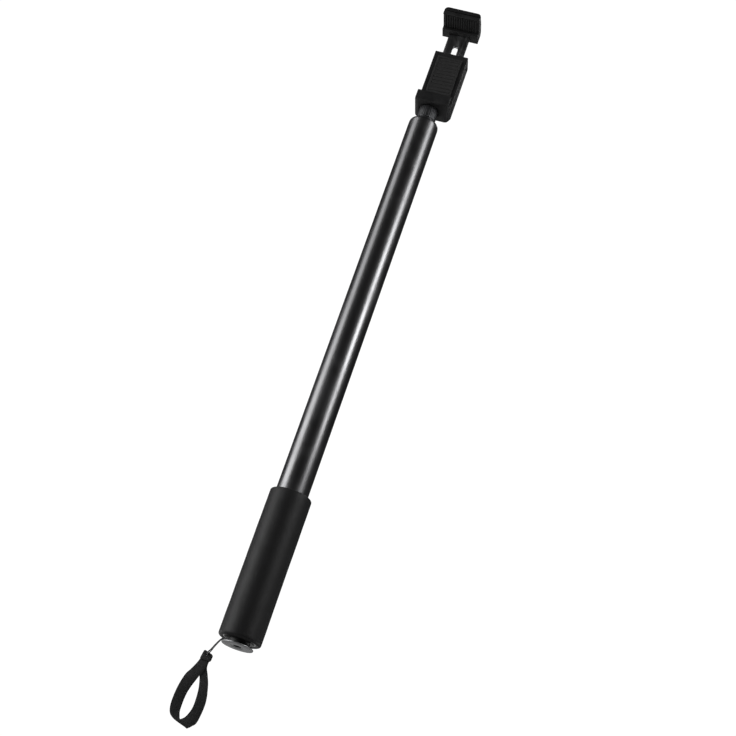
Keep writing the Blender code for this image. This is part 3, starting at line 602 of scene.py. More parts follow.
tube_low, tube_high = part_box("tube_1")
tube_radii = (12.25, 9.2, 7.7, 6.3, 5.0)
tube_walls = (0.9, 0.7, 0.7, 0.6, 0.6)
tube_bodies = ("grip", "stage_2", "stage_3", "stage_4", "stage_5")
mouth = tube_radii[1] + 0.25
shoulder = 4.5
shoulder_steps = 16
squareness = 0.76
outer, inner = tube_radii[0], tube_radii[0] - tube_walls[0]
bottom, top = tube_low.z / MM, tube_high.z / MM
corners = [(inner, bottom, 0.2), (outer, bottom, 0.2)]
for i in range(shoulder_steps + 1):
    turn = math.pi / 2 * i / shoulder_steps
    reach = (outer - mouth - 0.4) * (1 - math.cos(turn) ** squareness)
    corners.append((outer - reach, top - shoulder + shoulder * math.sin(turn) ** squareness, 0.0))
corners.append((mouth, top - 0.15, 0.0))
for i in range(shoulder_steps, -1, -1):
    turn = math.pi / 2 * i / shoulder_steps
    reach = (inner - mouth) * (1 - math.cos(turn) ** squareness)
    height = (shoulder - tube_walls[0]) * math.sin(turn) ** squareness
    corners.append((inner - reach, top - shoulder + height, 0.0))
bm = bmesh.new()
lathe(bm, corners, 160)
finished(bm, "outer_tube", tube_look, "grip", "black_anodised", "tube_1")

for stage in range(1, 5):
    low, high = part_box(f"tube_{stage + 1}")
    radius = tube_radii[stage]
    inner = radius - tube_walls[stage]
    bm = bmesh.new()
    lathe(bm, [
        (inner, low.z / MM, 0.15), (radius, low.z / MM, 0.15), (radius, high.z / MM, 0.25),
        (inner, high.z / MM, 0.15),
    ], 128)
    finished(
        bm, f"inner_tube_{stage + 1}", tube_look, tube_bodies[stage], "black_anodised",
        f"tube_{stage + 1}",
    )


# Guide bushes and twist locks
# Each tube's mouth holds a grey acetal bush. Each inner tube's foot has a black spindle with an
# eccentric neck in a split acetal ring: twisting the tube wedges the ring.

acetal_look = moulded_plastic(
    "grey_acetal", (0.13, 0.13, 0.135), (0.19, 0.19, 0.195), 0.3, 0.46, 0.3
)
for number in (1, 2, 3, 4):
    nodes[f"guide_bush_{number}"].data.materials[0] = acetal_look
    nodes[f"lock_ring_{number + 1}"].data.materials[0] = acetal_look
    nodes[f"lock_spindle_{number + 1}"].data.materials[0] = black_plastic


# Head: stud, collar and locking wheel
# A steel stud with a camera thread is pressed in the top tube. A thin collar covers the tubes'
# mouths, and a fluted aluminium wheel runs up the stud to lock the clamp.

charcoal_look, tree, shader = new_look(
    "charcoal_anodising", (0.05, 0.051, 0.053), 0.42, 0.8, Specular_IOR_Level=0.5
)
marks = placed(tree, turning_marks, Pitch_mm=0.15)
wear = placed(tree, light_wear, Smudge_mm=6.0, Scratch_mm=0.7)
tint(tree, shader, (0.032, 0.033, 0.035), (0.065, 0.066, 0.069), marks.outputs["Rings"])
spread_roughness(tree, shader, 0.36, 0.5, wear.outputs["Smudges"])
raise_surface(tree, shader, marks.outputs["Height"], 0.01 * MM)

stud_low, stud_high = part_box("mount_screw")
collar_low, collar_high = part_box("head_collar")
wheel_low, wheel_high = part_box("locking_wheel")
bottom, top, step = stud_low.z / MM, stud_high.z / MM, collar_high.z / MM
bm = bmesh.new()
lathe(bm, [
    (0.0, bottom, 0.0), (4.25, bottom, 0.5), (4.25, step, 0.2), (2.6, step, 0.0),
    (2.6, top, 0.5), (0.0, top, 0.0),
], 64)
cut_thread(bm, 2.58, 3.1, 1.27, step + 0.1, top - 0.2)
finished(bm, "threaded_stud", steel_look, "stage_5", "zinc_steel", "mount_screw")

bm = bmesh.new()
lathe(bm, [
    (4.55, collar_low.z / MM, 0.1), (8.0, collar_low.z / MM, 0.25), (8.0, collar_high.z / MM, 0.25),
    (4.55, collar_high.z / MM, 0.1),
])
finished(bm, "turned_collar", charcoal_look, "stage_5", "charcoal_metal", "head_collar")

wheel_radius = 8.0
flutes = 30
flute_depth = 0.16 * MM
foot_recess = 2.8
bottom, top = wheel_low.z / MM, wheel_high.z / MM + foot_recess
bm = bmesh.new()
rim_points = lathe(bm, [
    (3.3, bottom, 0.2), (wheel_radius - 0.4, bottom, 0.1), (wheel_radius, bottom + 0.4, 0.1),
    (wheel_radius, bottom + 1.4, 0.0), (wheel_radius, top - 1.4, 0.0),
    (wheel_radius, top - 0.4, 0.1), (wheel_radius - 0.4, top, 0.1), (4.8, top, 0.2),
    (4.8, top - foot_recess - 0.1, 0.1), (3.3, top - foot_recess - 0.1, 0.1),
], flutes * 10)
for point in rim_points:
    reach = math.hypot(point.co.x, point.co.y)
    if reach > (wheel_radius - 0.3) * MM:
        turn = math.atan2(point.co.y, point.co.x)
        pressed = flute_depth * (0.5 + 0.5 * math.cos(flutes * turn)) ** 2
        point.co.x *= 1 - pressed / reach
        point.co.y *= 1 - pressed / reach
finished(bm, "fluted_locking_wheel", charcoal_look, "wheel", "charcoal_metal", "locking_wheel")


# Phone clamp: front shell
# One black moulding: the lower jaw with its lip, and the hollow back that the sliding plate runs
# in. A steel insert for the stud is set in its underside.

def prism(bm, outline, low, high, along="X", rims=0.0, segments=4):
    """A bar with a rounded outline of (across, up, rounding) corners, in millimetres.

    Along X the outline lies in Y and Z, along Y it lies in X and Z. The edges of both of its
    ends can be rounded too.
    """
    flat = [p * MM for p in softened(outline)]
    shift = Vector(((high - low) * MM, 0.0, 0.0))
    if along == "X":
        points = [bm.verts.new((low * MM, p.x, p.y)) for p in flat]
    else:
        points = [bm.verts.new((p.x, low * MM, p.y)) for p in flat]
        shift = Vector((0.0, shift.x, 0.0))
    face = bm.faces.new(points)
    grown = bmesh.ops.extrude_face_region(bm, geom=[face])["geom"]
    moved = [v for v in grown if isinstance(v, bmesh.types.BMVert)]
    bmesh.ops.translate(bm, verts=moved, vec=shift)
    made = points + moved
    faces = {f for v in made for f in v.link_faces}
    bmesh.ops.recalc_face_normals(bm, faces=list(faces))
    if rims:
        known = set(points), set(moved)
        edges = {e for v in made for e in v.link_edges}
        ends = [e for e in edges if any(k.issuperset(e.verts) for k in known)]
        bmesh.ops.bevel(
            bm, geom=ends, offset=rims * MM, offset_type="OFFSET", affect="EDGES",
            segments=segments, profile=0.5, material=-1, clamp_overlap=True,
        )


def round_corners(bm, left, right, radius, level, limit):
    """Round a bar's left and right corners on the side that lies past a level, up to a limit."""
    for share in (0.07, 0.16, 0.28, 0.43, 0.64, 1.0):
        for x in (left + radius * share, right - radius * share):
            bmesh.ops.bisect_plane(
                bm, geom=list(bm.verts) + list(bm.edges) + list(bm.faces),
                plane_co=(x * MM, 0.0, 0.0), plane_no=(1.0, 0.0, 0.0),
            )
    for point in bm.verts:
        inward = max(0.0, min(point.co.x / MM - left, right - point.co.x / MM))
        share = (point.co.z / MM - level) / (limit - level)
        if inward < radius and share > 0:
            fall = radius - math.sqrt(radius**2 - (radius - inward) ** 2)
            way = 1 if limit > level else -1
            point.co.z -= way * fall * min(1.0, share) * MM


def block(bm, low, high, rounding=0.0, segments=3):
    """A block between two corners in millimetres, with rounded edges."""
    low, high = Vector(low) * MM, Vector(high) * MM
    made = bmesh.ops.create_cube(bm, size=1.0)["verts"]
    bmesh.ops.scale(bm, verts=made, vec=high - low)
    bmesh.ops.translate(bm, verts=made, vec=(low + high) / 2)
    if rounding:
        bmesh.ops.bevel(
            bm, geom=list({e for v in made for e in v.link_edges}), offset=rounding * MM,
            offset_type="OFFSET", affect="EDGES", segments=segments, profile=0.5, material=-1,
            clamp_overlap=True,
        )


def drill(bm, radius, low, high, sides, centre=(0.0, 0.0, 0.0), axis="Z"):
    """A round bar to cut a hole with, from low to high along its axis, in millimetres."""
    corners = [(0.0, low, 0.0), (radius, low, 0.0), (radius, high, 0.0), (0.0, high, 0.0)]
    lathe(bm, corners, sides, centre, axis)


def carve(piece, shapes, edge=0.0):
    """Cut each shape out of the piece, break the edges, and settle the result in its mesh.

    A shape is a function that fills a bmesh.
    """
    cutters = []
    for fill in shapes:
        bm = bmesh.new()
        fill(bm)
        bmesh.ops.recalc_face_normals(bm, faces=bm.faces)
        mesh = bpy.data.meshes.new("cutter")
        bm.to_mesh(mesh)
        bm.free()
        cutter = bpy.data.objects.new("cutter", mesh)
        bpy.context.scene.collection.objects.link(cutter)
        boolean = piece.modifiers.new("cut", "BOOLEAN")
        boolean.operation = "DIFFERENCE"
        boolean.solver = "EXACT"
        boolean.object = cutter
        cutters.append(cutter)
    if edge:
        bevel = piece.modifiers.new("broken_edges", "BEVEL")
        bevel.width = edge * MM
        bevel.segments = 2
        bevel.limit_method = "ANGLE"
        bevel.angle_limit = math.radians(40)
    carved = piece.evaluated_get(bpy.context.evaluated_depsgraph_get())
    plain = piece.data
    piece.data = bpy.data.meshes.new_from_object(carved)
    piece.modifiers.clear()
    bpy.data.meshes.remove(plain)
    piece.data.shade_smooth()
    piece.data.set_sharp_from_angle(angle=math.radians(35))
    for cutter in cutters:
        bpy.data.meshes.remove(cutter.data)


shell_low, shell_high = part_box("clamp_body")
middle = (shell_low.x + shell_high.x) / 2 / MM
half_width = (shell_high.x - shell_low.x) / 2 / MM
floor = shell_low.z / MM
left, right = middle - half_width, middle + half_width
lip_front, lip_back, shell_front, shell_back = -12.5, -8.9, 1.3, 14.6
lip_top, seat, shell_top = floor + 12.9, floor + 8.9, shell_high.z / MM
plate_low, plate_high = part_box("slide_plate")
hollow_left, hollow_right = plate_low.x / MM - 0.6, plate_high.x / MM + 0.6
plate_front, plate_back = plate_low.y / MM, plate_high.y / MM
cover_screws = []
for number in (1, 2, 3, 4):
    low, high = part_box(f"cover_screw_{number}")
    cover_screws.append(((low.x + high.x) / 2 / MM, (low.z + high.z) / 2 / MM))

bm = bmesh.new()
prism(bm, [
    (lip_front, floor + 3.2, 2.0), (lip_front, lip_top, 1.5), (lip_back, lip_top, 0.7),
    (lip_back, seat, 0.9), (shell_front, seat, 0.7), (shell_front, shell_top, 0.7),
    (shell_back, shell_top, 0.5), (shell_back, floor + 7.0, 1.6), (9.0, floor, 2.2),
], left, right, rims=1.9, segments=5)
round_corners(bm, left, right, 3.0, floor + 3.6, floor)
front_shell = finished(bm, "clamp_front_shell", black_plastic, "clamp", "black_plastic", "clamp_body")


def shell_spaces(bm):
    block(
        bm, (hollow_left, shell_front + 2.2, floor + 9.0),
        (hollow_right, shell_back + 1, shell_top - 2.2),
    )


def plate_mouth(bm):
    block(
        bm, (hollow_left, plate_front - 0.3, shell_top - 4.4),
        (hollow_right, plate_back + 0.3, shell_top + 1),
    )


def insert_pocket(bm):
    drill(bm, 4.55, floor - 1, floor + 6.5, 64)


def wheel_recess(bm):
    drill(bm, wheel_radius + 0.5, floor - 1, floor + foot_recess, 96)


def screw_bosses(bm):
    for x, z in cover_screws:
        drill(bm, 1.2, shell_back - 5.3, shell_back + 1, 32, (x * MM, 0.0, z * MM), "Y")


carve(front_shell, (shell_spaces, plate_mouth, insert_pocket, wheel_recess, screw_bosses), 0.22)

insert_low, insert_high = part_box("clamp_thread_insert")
bottom, top = insert_low.z / MM, insert_high.z / MM
bm = bmesh.new()
lathe(bm, [(3.27, bottom, 0.3), (4.4, bottom, 0.15), (4.4, top, 0.1), (3.27, top, 0.1)], 96)
finished(bm, "clamp_insert", steel_look, "clamp", "zinc_steel", "clamp_thread_insert")


# Rear cover and its screws
# A black moulding closes the shell's back, held by four small cross-head screws. A boss inside it
# backs the sliding plate where the knob nips it.

cover_low, cover_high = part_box("rear_cover")
cover_front, cover_back = shell_back + 0.3, cover_high.y / MM
cover_bottom, cover_top = cover_low.z / MM, cover_high.z / MM
knob_low, knob_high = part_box("clamp_knob")
knob_x, knob_z = middle, floor + 50.0
knob_place = (knob_x * MM, 0.0, knob_z * MM)
bm = bmesh.new()
prism(bm, [
    (cover_front, cover_bottom, 0.3), (cover_back, cover_bottom + 2.8, 1.4),
    (cover_back, cover_top, 1.8), (cover_front, cover_top, 0.2),
], left, right, rims=0.9, segments=4)
rear_cover = finished(bm, "clamp_rear_cover", black_plastic, "clamp", "black_plastic", "rear_cover")


def cover_ways(bm):
    for x, z in cover_screws:
        lathe(bm, [
            (0.0, cover_front - 1, 0.0), (1.2, cover_front - 1, 0.0), (1.2, cover_back - 1.8, 0.0),
            (2.0, cover_back - 1.8, 0.0), (2.0, cover_back + 1, 0.0), (0.0, cover_back + 1, 0.0),
        ], 48, (x * MM, 0.0, z * MM), "Y")


def knob_way(bm):
    drill(bm, 2.1, cover_front - 1, cover_back + 1, 48, knob_place, "Y")


def grip_grooves(bm):
    for i in range(5):
        z = floor + 21.0 + 2.4 * i
        block(bm, (left + 4.0, cover_back - 0.45, z), (right - 4.0, cover_back + 1, z + 0.9))


carve(rear_cover, (cover_ways, knob_way, grip_grooves), 0.15)

bm = bmesh.new()
lathe(bm, [
    (2.1, plate_back + 1.8, 0.15), (4.6, plate_back + 1.8, 0.3), (4.6, cover_front + 0.1, 0.0),
    (2.1, cover_front + 0.1, 0.0),
], 64, knob_place, "Y")
finished(bm, "rear_cover_boss", black_plastic, "clamp", "black_plastic")


def cross_screw(name, x, z, shank, head, tip, seat_y, top_y, body, stands_for):
    """A pan-head screw along Y, with a cross recess and a plain shank."""
    bm = bmesh.new()
    lathe(bm, [
        (0.0, tip, 0.0), (shank * 0.8, tip + 0.6, 0.0), (shank * 0.8, seat_y, 0.0),
        (head, seat_y, 0.1), (head, top_y, 0.35), (0.0, top_y, 0.0),
    ], 40, (x * MM, 0.0, z * MM), "Y")
    screw = finished(bm, name, steel_look, body, "zinc_steel", stands_for)

    arm, slot = head * 0.62, head * 0.16

    def flat_arm(bm):
        block(bm, (x - arm, top_y - 0.6, z - slot), (x + arm, top_y + 0.5, z + slot))

    def upright_arm(bm):
        block(bm, (x - slot, top_y - 0.62, z - arm), (x + slot, top_y + 0.5, z + arm))

    carve(screw, (flat_arm, upright_arm))


for number, (x, z) in enumerate(cover_screws, start=1):
    cross_screw(
        f"cover_pan_screw_{number}", x, z, 0.9, 1.7, shell_back - 5.0, cover_back - 1.5,
        cover_back - 0.3, "clamp", f"cover_screw_{number}",
    )


# Clamp pads
# Three moulded rubber pads: a ribbed one on each jaw, across the phone's edge, and one with a
# raised border behind the phone.

rubber_look, tree, shader = new_look(
    "black_pad_rubber", (0.008, 0.008, 0.008), 0.7, Specular_IOR_Level=0.35
)
bloom = placed(tree, fine_grain, Grain_mm=0.12, Patch_mm=4.0)
tint(tree, shader, (0.005, 0.005, 0.005), (0.013, 0.013, 0.013), bloom.outputs["Patches"])
spread_roughness(tree, shader, 0.62, 0.88, bloom.outputs["Height"])
raise_surface(tree, shader, bloom.outputs["Height"], 0.02 * MM)


glued = 0.32


def ribbed_pad(node, name, body, faces_up):
    """A pad with ribs that run from its front to its back, on the side that meets the phone."""
    low, high = (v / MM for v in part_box(node))
    pitch, rib, rise = 2.0, 1.0, 0.7
    back_z, rib_z = (low.z - glued, high.z) if faces_up else (high.z + glued, low.z)
    sheet_z = rib_z + (rise if rib_z < back_z else -rise)
    bm = bmesh.new()
    block(bm, (low.x, low.y, min(back_z, sheet_z)), (high.x, high.y, max(back_z, sheet_z)), 0.15)
    count = int((high.x - low.x - rib) / pitch) + 1
    first = (low.x + high.x) / 2 - pitch * (count - 1) / 2
    for i in range(count):
        x = first + pitch * i
        inside = sheet_z + (0.2 if rib_z < back_z else -0.2)
        block(
            bm, (x - rib / 2, low.y + 0.5, min(inside, rib_z)),
            (x + rib / 2, high.y - 0.5, max(inside, rib_z)), 0.2,
        )
    finished(bm, name, rubber_look, body, "black_rubber", node)


ribbed_pad("lower_pad", "ribbed_lower_pad", "clamp", True)
low, high = (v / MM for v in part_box("back_pad"))
bm = bmesh.new()
block(bm, low, high + Vector((0.0, glued, 0.0)), 0.4)
back_pad = finished(bm, "bordered_back_pad", rubber_look, "clamp", "black_rubber", "back_pad")


def pad_panel(bm):
    block(bm, (low.x + 1.6, low.y - 1.0, low.z + 1.6), (high.x - 1.6, low.y + 0.3, high.z - 1.6))


carve(back_pad, (pad_panel,), 0.1)
bm = bmesh.new()
panel_rows = 11
for i in range(panel_rows):
    z = low.z + 3.4 + (high.z - low.z - 6.8) * i / (panel_rows - 1)
    block(bm, (low.x + 2.4, low.y + 0.05, z - 0.6), (high.x - 2.4, low.y + 0.5, z + 0.6), 0.18)
finished(bm, "back_pad_ribs", rubber_look, "clamp", "black_rubber")


# Sliding plate and upper jaw
# A slotted satin plate slides in the shell and carries the upper jaw, a black moulding that hooks
# over the phone's edge. Two screws from behind hold the jaw on the plate.

plate_look, tree, shader = new_look("satin_plate", (0.38, 0.385, 0.39), 0.36, 1.0)
brushed = shade(
    tree, "TexNoise", Vector=shade(
        tree, "Mapping", Vector=shade(tree, "TexCoord").outputs["Object"], Scale=(1.0, 1.0, 0.015)
    ).outputs[0], Scale=3200.0, Detail=3.0,
)
wear = placed(tree, light_wear, Smudge_mm=8.0, Scratch_mm=0.6)
tint(tree, shader, (0.31, 0.315, 0.32), (0.45, 0.455, 0.46), brushed.outputs["Fac"])
spread_roughness(tree, shader, 0.28, 0.44, wear.outputs["Smudges"])
raise_surface(tree, shader, brushed.outputs["Fac"], 0.008 * MM)

jaw_low, jaw_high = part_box("upper_jaw")
jaw_screws = []
for label in ("left", "right"):
    low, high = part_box(f"jaw_screw_{label}")
    jaw_screws.append((label, (low.x + high.x) / 2 / MM, (low.z + high.z) / 2 / MM))
bm = bmesh.new()
block(
    bm, (plate_low.x / MM, plate_front, plate_low.z / MM),
    (plate_high.x / MM, plate_back, plate_high.z / MM),
)
slide_plate = finished(bm, "slotted_slide_plate", plate_look, "jaw", "grey_metal", "slide_plate")


def plate_slot(bm):
    low_z, high_z = knob_z - 14.6, knob_z + 24.6
    prism(bm, [
        (middle - 2.3, low_z, 2.2), (middle + 2.3, low_z, 2.2), (middle + 2.3, high_z, 2.2),
        (middle - 2.3, high_z, 2.2),
    ], plate_front - 1, plate_back + 1, along="Y")


def jaw_screw_ways(bm):
    for _, x, z in jaw_screws:
        drill(bm, 1.4, plate_front - 3, plate_back + 3, 32, (x * MM, 0.0, z * MM), "Y")


carve(slide_plate, (plate_slot, jaw_screw_ways), 0.25)

pad_low, pad_high = (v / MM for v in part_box("upper_pad"))
jaw_left, jaw_right = jaw_low.x / MM, jaw_high.x / MM + 0.7
jaw_front, jaw_back = jaw_low.y / MM, jaw_high.y / MM
root = jaw_low.z / MM
underside = pad_low.z
recess = pad_high.z + 0.3
jaw_top = underside + 8.7
jaw_rim = 0.9
bm = bmesh.new()
prism(bm, [
    (jaw_front, underside, 0.5), (jaw_front, underside + 4.9, 0.4), (jaw_front + 1.3, jaw_top, 1.2),
    (-3.0, jaw_top + 2.2, 6.0), (8.5, jaw_top + 2.8, 4.0), (jaw_back, jaw_top + 1.2, 1.0),
    (jaw_back, root, 0.6),
    (1.4, root, 0.5), (1.4, recess, 0.2), (jaw_front + jaw_rim, recess, 0.0),
    (jaw_front + jaw_rim, underside, 0.3),
], jaw_left, jaw_right, rims=1.1, segments=4)
round_corners(bm, jaw_left, jaw_right, 3.2, jaw_top - 3.4, jaw_top)
upper_jaw = finished(bm, "hooked_upper_jaw", black_plastic, "jaw", "black_plastic", "upper_jaw")


def jaw_socket(bm):
    block(bm, (plate_low.x / MM - 0.3, plate_front - 0.3, root - 1),
          (plate_high.x / MM + 0.3, plate_back + 0.3, plate_high.z / MM + 0.3))


def jaw_screw_wells(bm):
    for _, x, z in jaw_screws:
        lathe(bm, [
            (0.0, plate_front - 2.9, 0.0), (1.4, plate_front - 2.9, 0.0), (1.4, jaw_back - 2.2, 0.0),
            (2.4, jaw_back - 2.2, 0.0), (2.4, jaw_back + 1, 0.0), (0.0, jaw_back + 1, 0.0),
        ], 48, (x * MM, 0.0, z * MM), "Y")


def jaw_groove(bm):
    block(
        bm, (jaw_left - 1, jaw_front - 1, underside + 3.4),
        (jaw_right + 1, jaw_front + 0.9, underside + 4.4),
    )


carve(upper_jaw, (jaw_socket, jaw_screw_wells, jaw_groove), 0.18)
ribbed_pad("upper_pad", "ribbed_upper_pad", "jaw", False)
for label, x, z in jaw_screws:
    cross_screw(
        f"jaw_pan_screw_{label}", x, z, 1.1, 2.1, plate_front - 2.6, jaw_back - 1.9,
        jaw_back - 0.4, "jaw", f"jaw_screw_{label}",
    )


# Screw lock
# A lobed black knob on a steel screw. Its square nut sits in front of the sliding plate, and a
# washer behind it, so that turning the knob nips the plate.

knob_radius = 9.0
lobes = 9
lobe_depth = 1.0 * MM
face, top = knob_low.y / MM, knob_high.y / MM
bm = bmesh.new()
knob_points = lathe(bm, [
    (2.1, face, 0.1), (knob_radius - 1.0, face, 0.3), (knob_radius, face + 1.2, 0.6),
    (knob_radius, face + 3.4, 0.0), (knob_radius, top - 3.0, 0.0), (knob_radius, top - 0.9, 0.9),
    (knob_radius - 2.6, top, 1.2), (4.3, top - 0.15, 0.2), (3.9, top - 2.6, 0.2), (2.1, top - 2.6, 0.1),
], lobes * 18, knob_place, "Y")
for point in knob_points:
    across, rise = point.co.x - knob_place[0], point.co.z - knob_place[2]
    reach = math.hypot(across, rise)
    if reach > (knob_radius - 3.2) * MM:
        turn = math.atan2(-rise, across)
        share = min(1.0, (reach / MM - knob_radius + 3.2) / 2.2)
        pressed = share * lobe_depth * (0.5 + 0.5 * math.cos(lobes * turn))
        point.co.x -= across / reach * pressed
        point.co.z -= rise / reach * pressed
finished(bm, "lobed_clamp_knob", black_plastic, "knob", "black_plastic", "clamp_knob", crease=50)
screw_low, screw_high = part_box("knob_screw")
bm = bmesh.new()
lathe(bm, [
    (0.0, screw_low.y / MM, 0.0), (1.6, screw_low.y / MM, 0.2), (1.6, top - 2.3, 0.0),
    (3.6, top - 2.3, 0.15), (3.6, screw_high.y / MM, 0.4), (0.0, screw_high.y / MM, 0.0),
], 64, knob_place, "Y")
knob_screw = finished(bm, "knob_hex_screw", steel_look, "knob", "zinc_steel", "knob_screw")


def key_socket(bm):
    depth = screw_high.y / MM
    drill(bm, 1.7, depth - 1.4, depth + 1, 6, knob_place, "Y")


carve(knob_screw, (key_socket,), 0.06)
low, high = (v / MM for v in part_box("square_nut"))
bm = bmesh.new()
block(bm, low, high, 0.4)
square_nut = finished(bm, "square_clamp_nut", steel_look, "clamp", "zinc_steel", "square_nut")
carve(square_nut, (lambda bm: drill(bm, 2.1, low.y - 1, high.y + 1, 32, knob_place, "Y"),), 0.08)
low, high = (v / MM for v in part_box("pressure_washer"))
bm = bmesh.new()
lathe(
    bm, [(2.1, low.y, 0.1), (4.6, low.y, 0.2), (4.6, high.y, 0.2), (2.1, high.y, 0.1)], 64,
    knob_place, "Y",
)
finished(bm, "flat_pressure_washer", steel_look, "clamp", "zinc_steel", "pressure_washer")


# Strap: stitched head and webbing loop
# Black woven webbing. Its two ends are wrapped in a folded, stitched head that the cord passes
# through, and the loop is creased on the slant at the bottom, where the webbing turns back.

def make_weave_group():
    """Plain weave on the piece's own UV map, in metres: yarn height and yarn shade."""
    group, given, result = new_group("plain_weave", {"Yarn mm": 0.45}, ("Height", "Shade"))
    cloth = shade(group, "UVMap", {"uv_map": "cloth"})
    size = shade(group, "Math", {"operation": "MULTIPLY"}, in0=given.outputs["Yarn mm"], in1=MM)
    count = shade(
        group, "VectorMath", {"operation": "DIVIDE"}, in0=cloth.outputs[0], in1=size.outputs[0]
    )
    yarn = shade(group, "SeparateXYZ", in0=count.outputs[0])
    column = shade(group, "Math", {"operation": "FLOOR"}, in0=yarn.outputs["Y"])
    shifted = shade(group, "Math", {"operation": "ADD"}, in0=yarn.outputs["X"], in1=column.outputs[0])
    wave = shade(group, "Math", {"operation": "MULTIPLY"}, in0=shifted.outputs[0], in1=math.pi)
    over = shade(group, "Math", {"operation": "SINE"}, in0=wave.outputs[0])
    lifted = shade(group, "MapRange", Value=over.outputs[0], From_Min=-1.0, From_Max=1.0,
                   To_Min=0.35, To_Max=1.0)
    part_way = shade(group, "Math", {"operation": "FRACT"}, in0=yarn.outputs["Y"])
    half_turn = shade(group, "Math", {"operation": "MULTIPLY"}, in0=part_way.outputs[0], in1=math.pi)
    round_yarn = shade(group, "Math", {"operation": "SINE"}, in0=half_turn.outputs[0])
    height = shade(
        group, "Math", {"operation": "MULTIPLY"}, in0=lifted.outputs[0], in1=round_yarn.outputs[0],
    )
    group.links.new(height.outputs[0], result.inputs["Height"])
    group.links.new(lifted.outputs[0], result.inputs["Shade"])
    return group


plain_weave = make_weave_group()
webbing_look, tree, shader = new_look(
    "black_webbing", (0.012, 0.012, 0.0124), 0.8, Sheen_Weight=0.05, Sheen_Roughness=0.45,
    Specular_IOR_Level=0.3,
)
weave = placed(tree, plain_weave, Yarn_mm=0.5)
fibres = placed(tree, fine_grain, Grain_mm=0.08, Patch_mm=6.0)
# The base colour follows the yarn height and is darker in the hollows between and under the yarns. This is
# painted shade in the weave.
tint(tree, shader, (0.004, 0.004, 0.0042), (0.021, 0.021, 0.0217), weave.outputs["Height"])
spread_roughness(tree, shader, 0.65, 0.9, fibres.outputs["Patches"])
woven = raise_surface(tree, shader, weave.outputs["Height"], 0.16 * MM, 0.9)
raise_surface(tree, shader, fibres.outputs["Height"], 0.02 * MM, 0.5, over=woven)

thread_look, tree, shader = new_look(
    "black_sewing_thread", (0.025, 0.025, 0.026), 0.6, Sheen_Weight=0.1, Sheen_Roughness=0.4
)
twist = placed(tree, fine_grain, Grain_mm=0.07, Patch_mm=2.0)
tint(tree, shader, (0.014, 0.014, 0.0146), (0.04, 0.04, 0.041), twist.outputs["Height"])
raise_surface(tree, shader, twist.outputs["Height"], 0.02 * MM)

strap_face = cap_face / MM
ribbon_thickness = 0.62


def strap_point(x, h, y=0.0):
    """A point of the strap, from its distances to the axis and above the cap's face."""
    return Vector((x, y, strap_face + h)) * MM


# each rail pair: the webbing's outer and inner edge, as (x, height, y)
left_rails = (
    [(-21.7, -14.6, -0.42), (-23.1, -18.8, -0.5), (-25.5, -24.0, -0.7), (-28.2, -29.5, -1.0),
     (-30.2, -41.0, -1.5), (-29.9, -53.4, -1.7), (-26.0, -59.4, -1.2), (-14.3, -63.5, -0.35)],
    [(-15.2, -14.6, -0.42), (-15.9, -19.6, -0.42), (-17.3, -24.8, -0.4), (-18.7, -28.2, -0.3),
     (-22.4, -40.0, 0.6), (-23.1, -52.0, 1.5), (-21.8, -57.0, 1.0), (-20.6, -59.0, -0.35)],
)
right_rails = (
    [(-15.3, -14.6, 0.42), (-15.2, -19.8, 0.45), (-12.9, -24.8, 0.7), (-10.1, -31.8, 1.0),
     (-7.7, -43.5, 1.4), (-8.7, -56.8, 1.3), (-11.2, -61.0, 0.8), (-13.9, -63.6, 0.35)],
    [(-21.4, -14.6, 0.42), (-20.6, -19.6, 0.42), (-19.2, -24.6, 0.4), (-17.4, -29.2, 0.3),
     (-15.4, -37.3, -0.5), (-14.9, -48.4, -0.9), (-17.3, -55.8, -0.3), (-20.6, -59.0, 0.35)],
)


def sew_ribbon(bm, cloth, rails):
    """A flat webbing between two rails: a closed ring of eight points carried down its length."""
    outer, inner = (smooth_route([strap_point(*p) for p in points], 8) for points in rails)
    edge = 0.16
    half = ribbon_thickness / 2 * MM
    section = [
        (edge, half), (0.5, half * 1.05), (1 - edge, half), (1.0, 0.35 * half),
        (1.0, -0.35 * half), (1 - edge, -half), (0.5, -half * 1.05), (edge, -half),
        (0.0, -0.35 * half), (0.0, 0.35 * half),
    ]
    travelled, before, ring = 0.0, None, None
    for i, (a, b) in enumerate(zip(outer, inner)):
        middle_point = (a + b) / 2
        ahead = (outer[min(i + 1, len(outer) - 1)] + inner[min(i + 1, len(outer) - 1)]) / 2
        behind = (outer[max(i - 1, 0)] + inner[max(i - 1, 0)]) / 2
        across = b - a
        normal = across.cross(ahead - behind).normalized()
        if before is not None:
            travelled += (middle_point - before).length
        before = middle_point
        places = [a + across * share + normal * lift for share, lift in section]
        if ring is None:
            points = [bm.verts.new(p) for p in places]
            face = bm.faces.new(points)
            ring = list(face.edges)
            order = points
        else:
            last = order
            grown, ring = grow_ring(bm, ring)
            fresh = set(grown)
            order = [next(e.other_vert(v) for e in v.link_edges if e.other_vert(v) in fresh) for v in last]
            for point, place in zip(order, places):
                point.co = place
        for point, (share, _) in zip(order, section):
            cloth[point] = (travelled, share * 7.2 * MM)
    bmesh.ops.edgeloop_fill(bm, edges=ring)


def lay_cloth(bm, cloth):
    """Write the places along and across the webbing to the UV map that the weave follows."""
    layer = bm.loops.layers.uv.new("cloth")
    for part in bm.faces:
        for corner in part.loops:
            corner[layer].uv = cloth.get(corner.vert, (corner.vert.co.z, corner.vert.co.x))


bm = bmesh.new()
cloth = {}
sew_ribbon(bm, cloth, left_rails)
sew_ribbon(bm, cloth, right_rails)
crease = [strap_point(-20.3, -58.9), strap_point(-14.0, -63.2)]
sweep_strand(bm, frames_along(smooth_route(crease, 6)), 0.55 * MM, 10)
lay_cloth(bm, cloth)
strap_loop = finished(
    bm, "webbing_loop", webbing_look, "strap", "black_webbing", "strap_loop", crease=50,
)

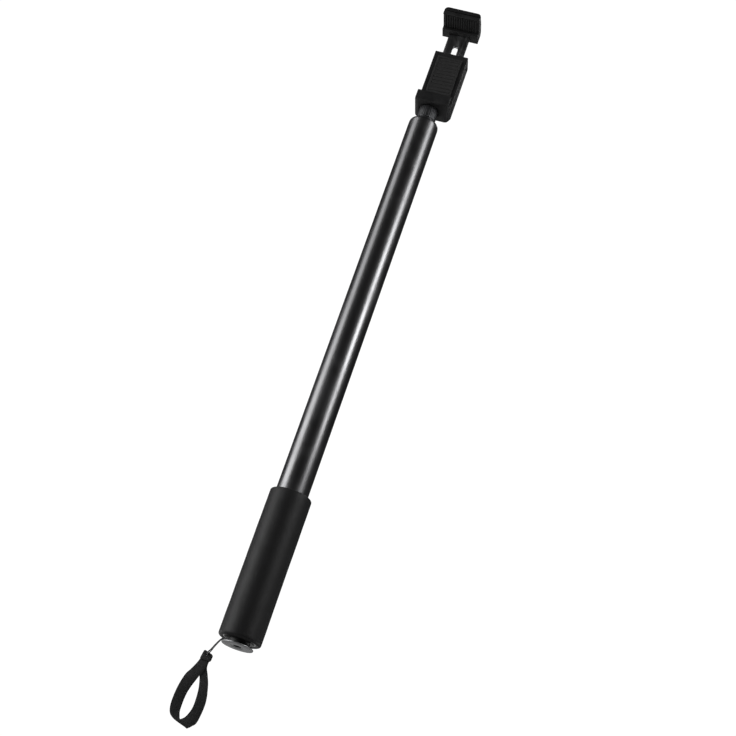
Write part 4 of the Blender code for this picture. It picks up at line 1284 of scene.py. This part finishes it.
head_outline = [
    (-21.2, -9.2), (-20.3, -8.6), (-14.8, -10.3), (-14.1, -11.1), (-14.3, -14.7),
    (-15.2, -15.6), (-21.7, -15.6), (-22.1, -14.7),
]
head_half = 1.3
bm = bmesh.new()
flat = [Vector((x, strap_face + h, 0.0)) for x, h in head_outline]
prism(bm, [(p.x, p.y, 0.35) for p in flat], -head_half, -0.12, along="Y", rims=0.32)
prism(bm, [(p.x, p.y, 0.35) for p in flat], 0.12, head_half, along="Y", rims=0.32)
middle_flat = sum((p for p in flat), Vector()) / len(flat)
inner_flat = [middle_flat + (p - middle_flat) * 0.92 for p in flat]
prism(bm, [(p.x, p.y, 0.3) for p in inner_flat], -0.3, 0.3, along="Y")
strap_head = finished(bm, "stitched_strap_head", webbing_look, "strap", "black_webbing", "strap_keeper")


def eyelet(bm):
    drill(bm, 0.75, -3.0, 3.0, 40, (eye.x, 0.0, eye.z), "Y")


carve(strap_head, (eyelet,), 0.1)
layer = strap_head.data.uv_layers.new(name="cloth")
for loop in strap_head.data.loops:
    place = strap_head.data.vertices[loop.vertex_index].co
    layer.data[loop.index].uv = (place.z, place.x)

stitch_length, stitch_gap, stitch_radius = 0.62, 0.95, 0.11
bm = bmesh.new()
seams = [((-20.6, -13.9), (-15.6, -13.9)), ((-20.9, -14.9), (-15.4, -14.9)),
         ((-20.8, -10.0), (-20.8, -13.2)), ((-15.3, -11.5), (-15.3, -13.2))]
for start, end in seams:
    start, end = Vector(start), Vector(end)
    count = max(2, int((end - start).length / stitch_gap) + 1)
    slant = math.atan2(end.y - start.y, end.x - start.x)
    for i in range(count):
        spot = start.lerp(end, i / (count - 1))
        for side in (-1, 1):
            made = bmesh.ops.create_uvsphere(bm, u_segments=8, v_segments=5, radius=1.0)["verts"]
            bmesh.ops.scale(
                bm, verts=made,
                vec=Vector((stitch_length / 2, stitch_radius, stitch_radius * 1.3)) * MM,
            )
            bmesh.ops.rotate(bm, verts=made, cent=(0, 0, 0), matrix=Matrix.Rotation(-slant, 3, "Y"))
            bmesh.ops.translate(
                bm, verts=made, vec=strap_point(spot.x, spot.y, side * (head_half - 0.02)),
            )
finished(bm, "strap_head_stitches", thread_look, "strap", "black_webbing")
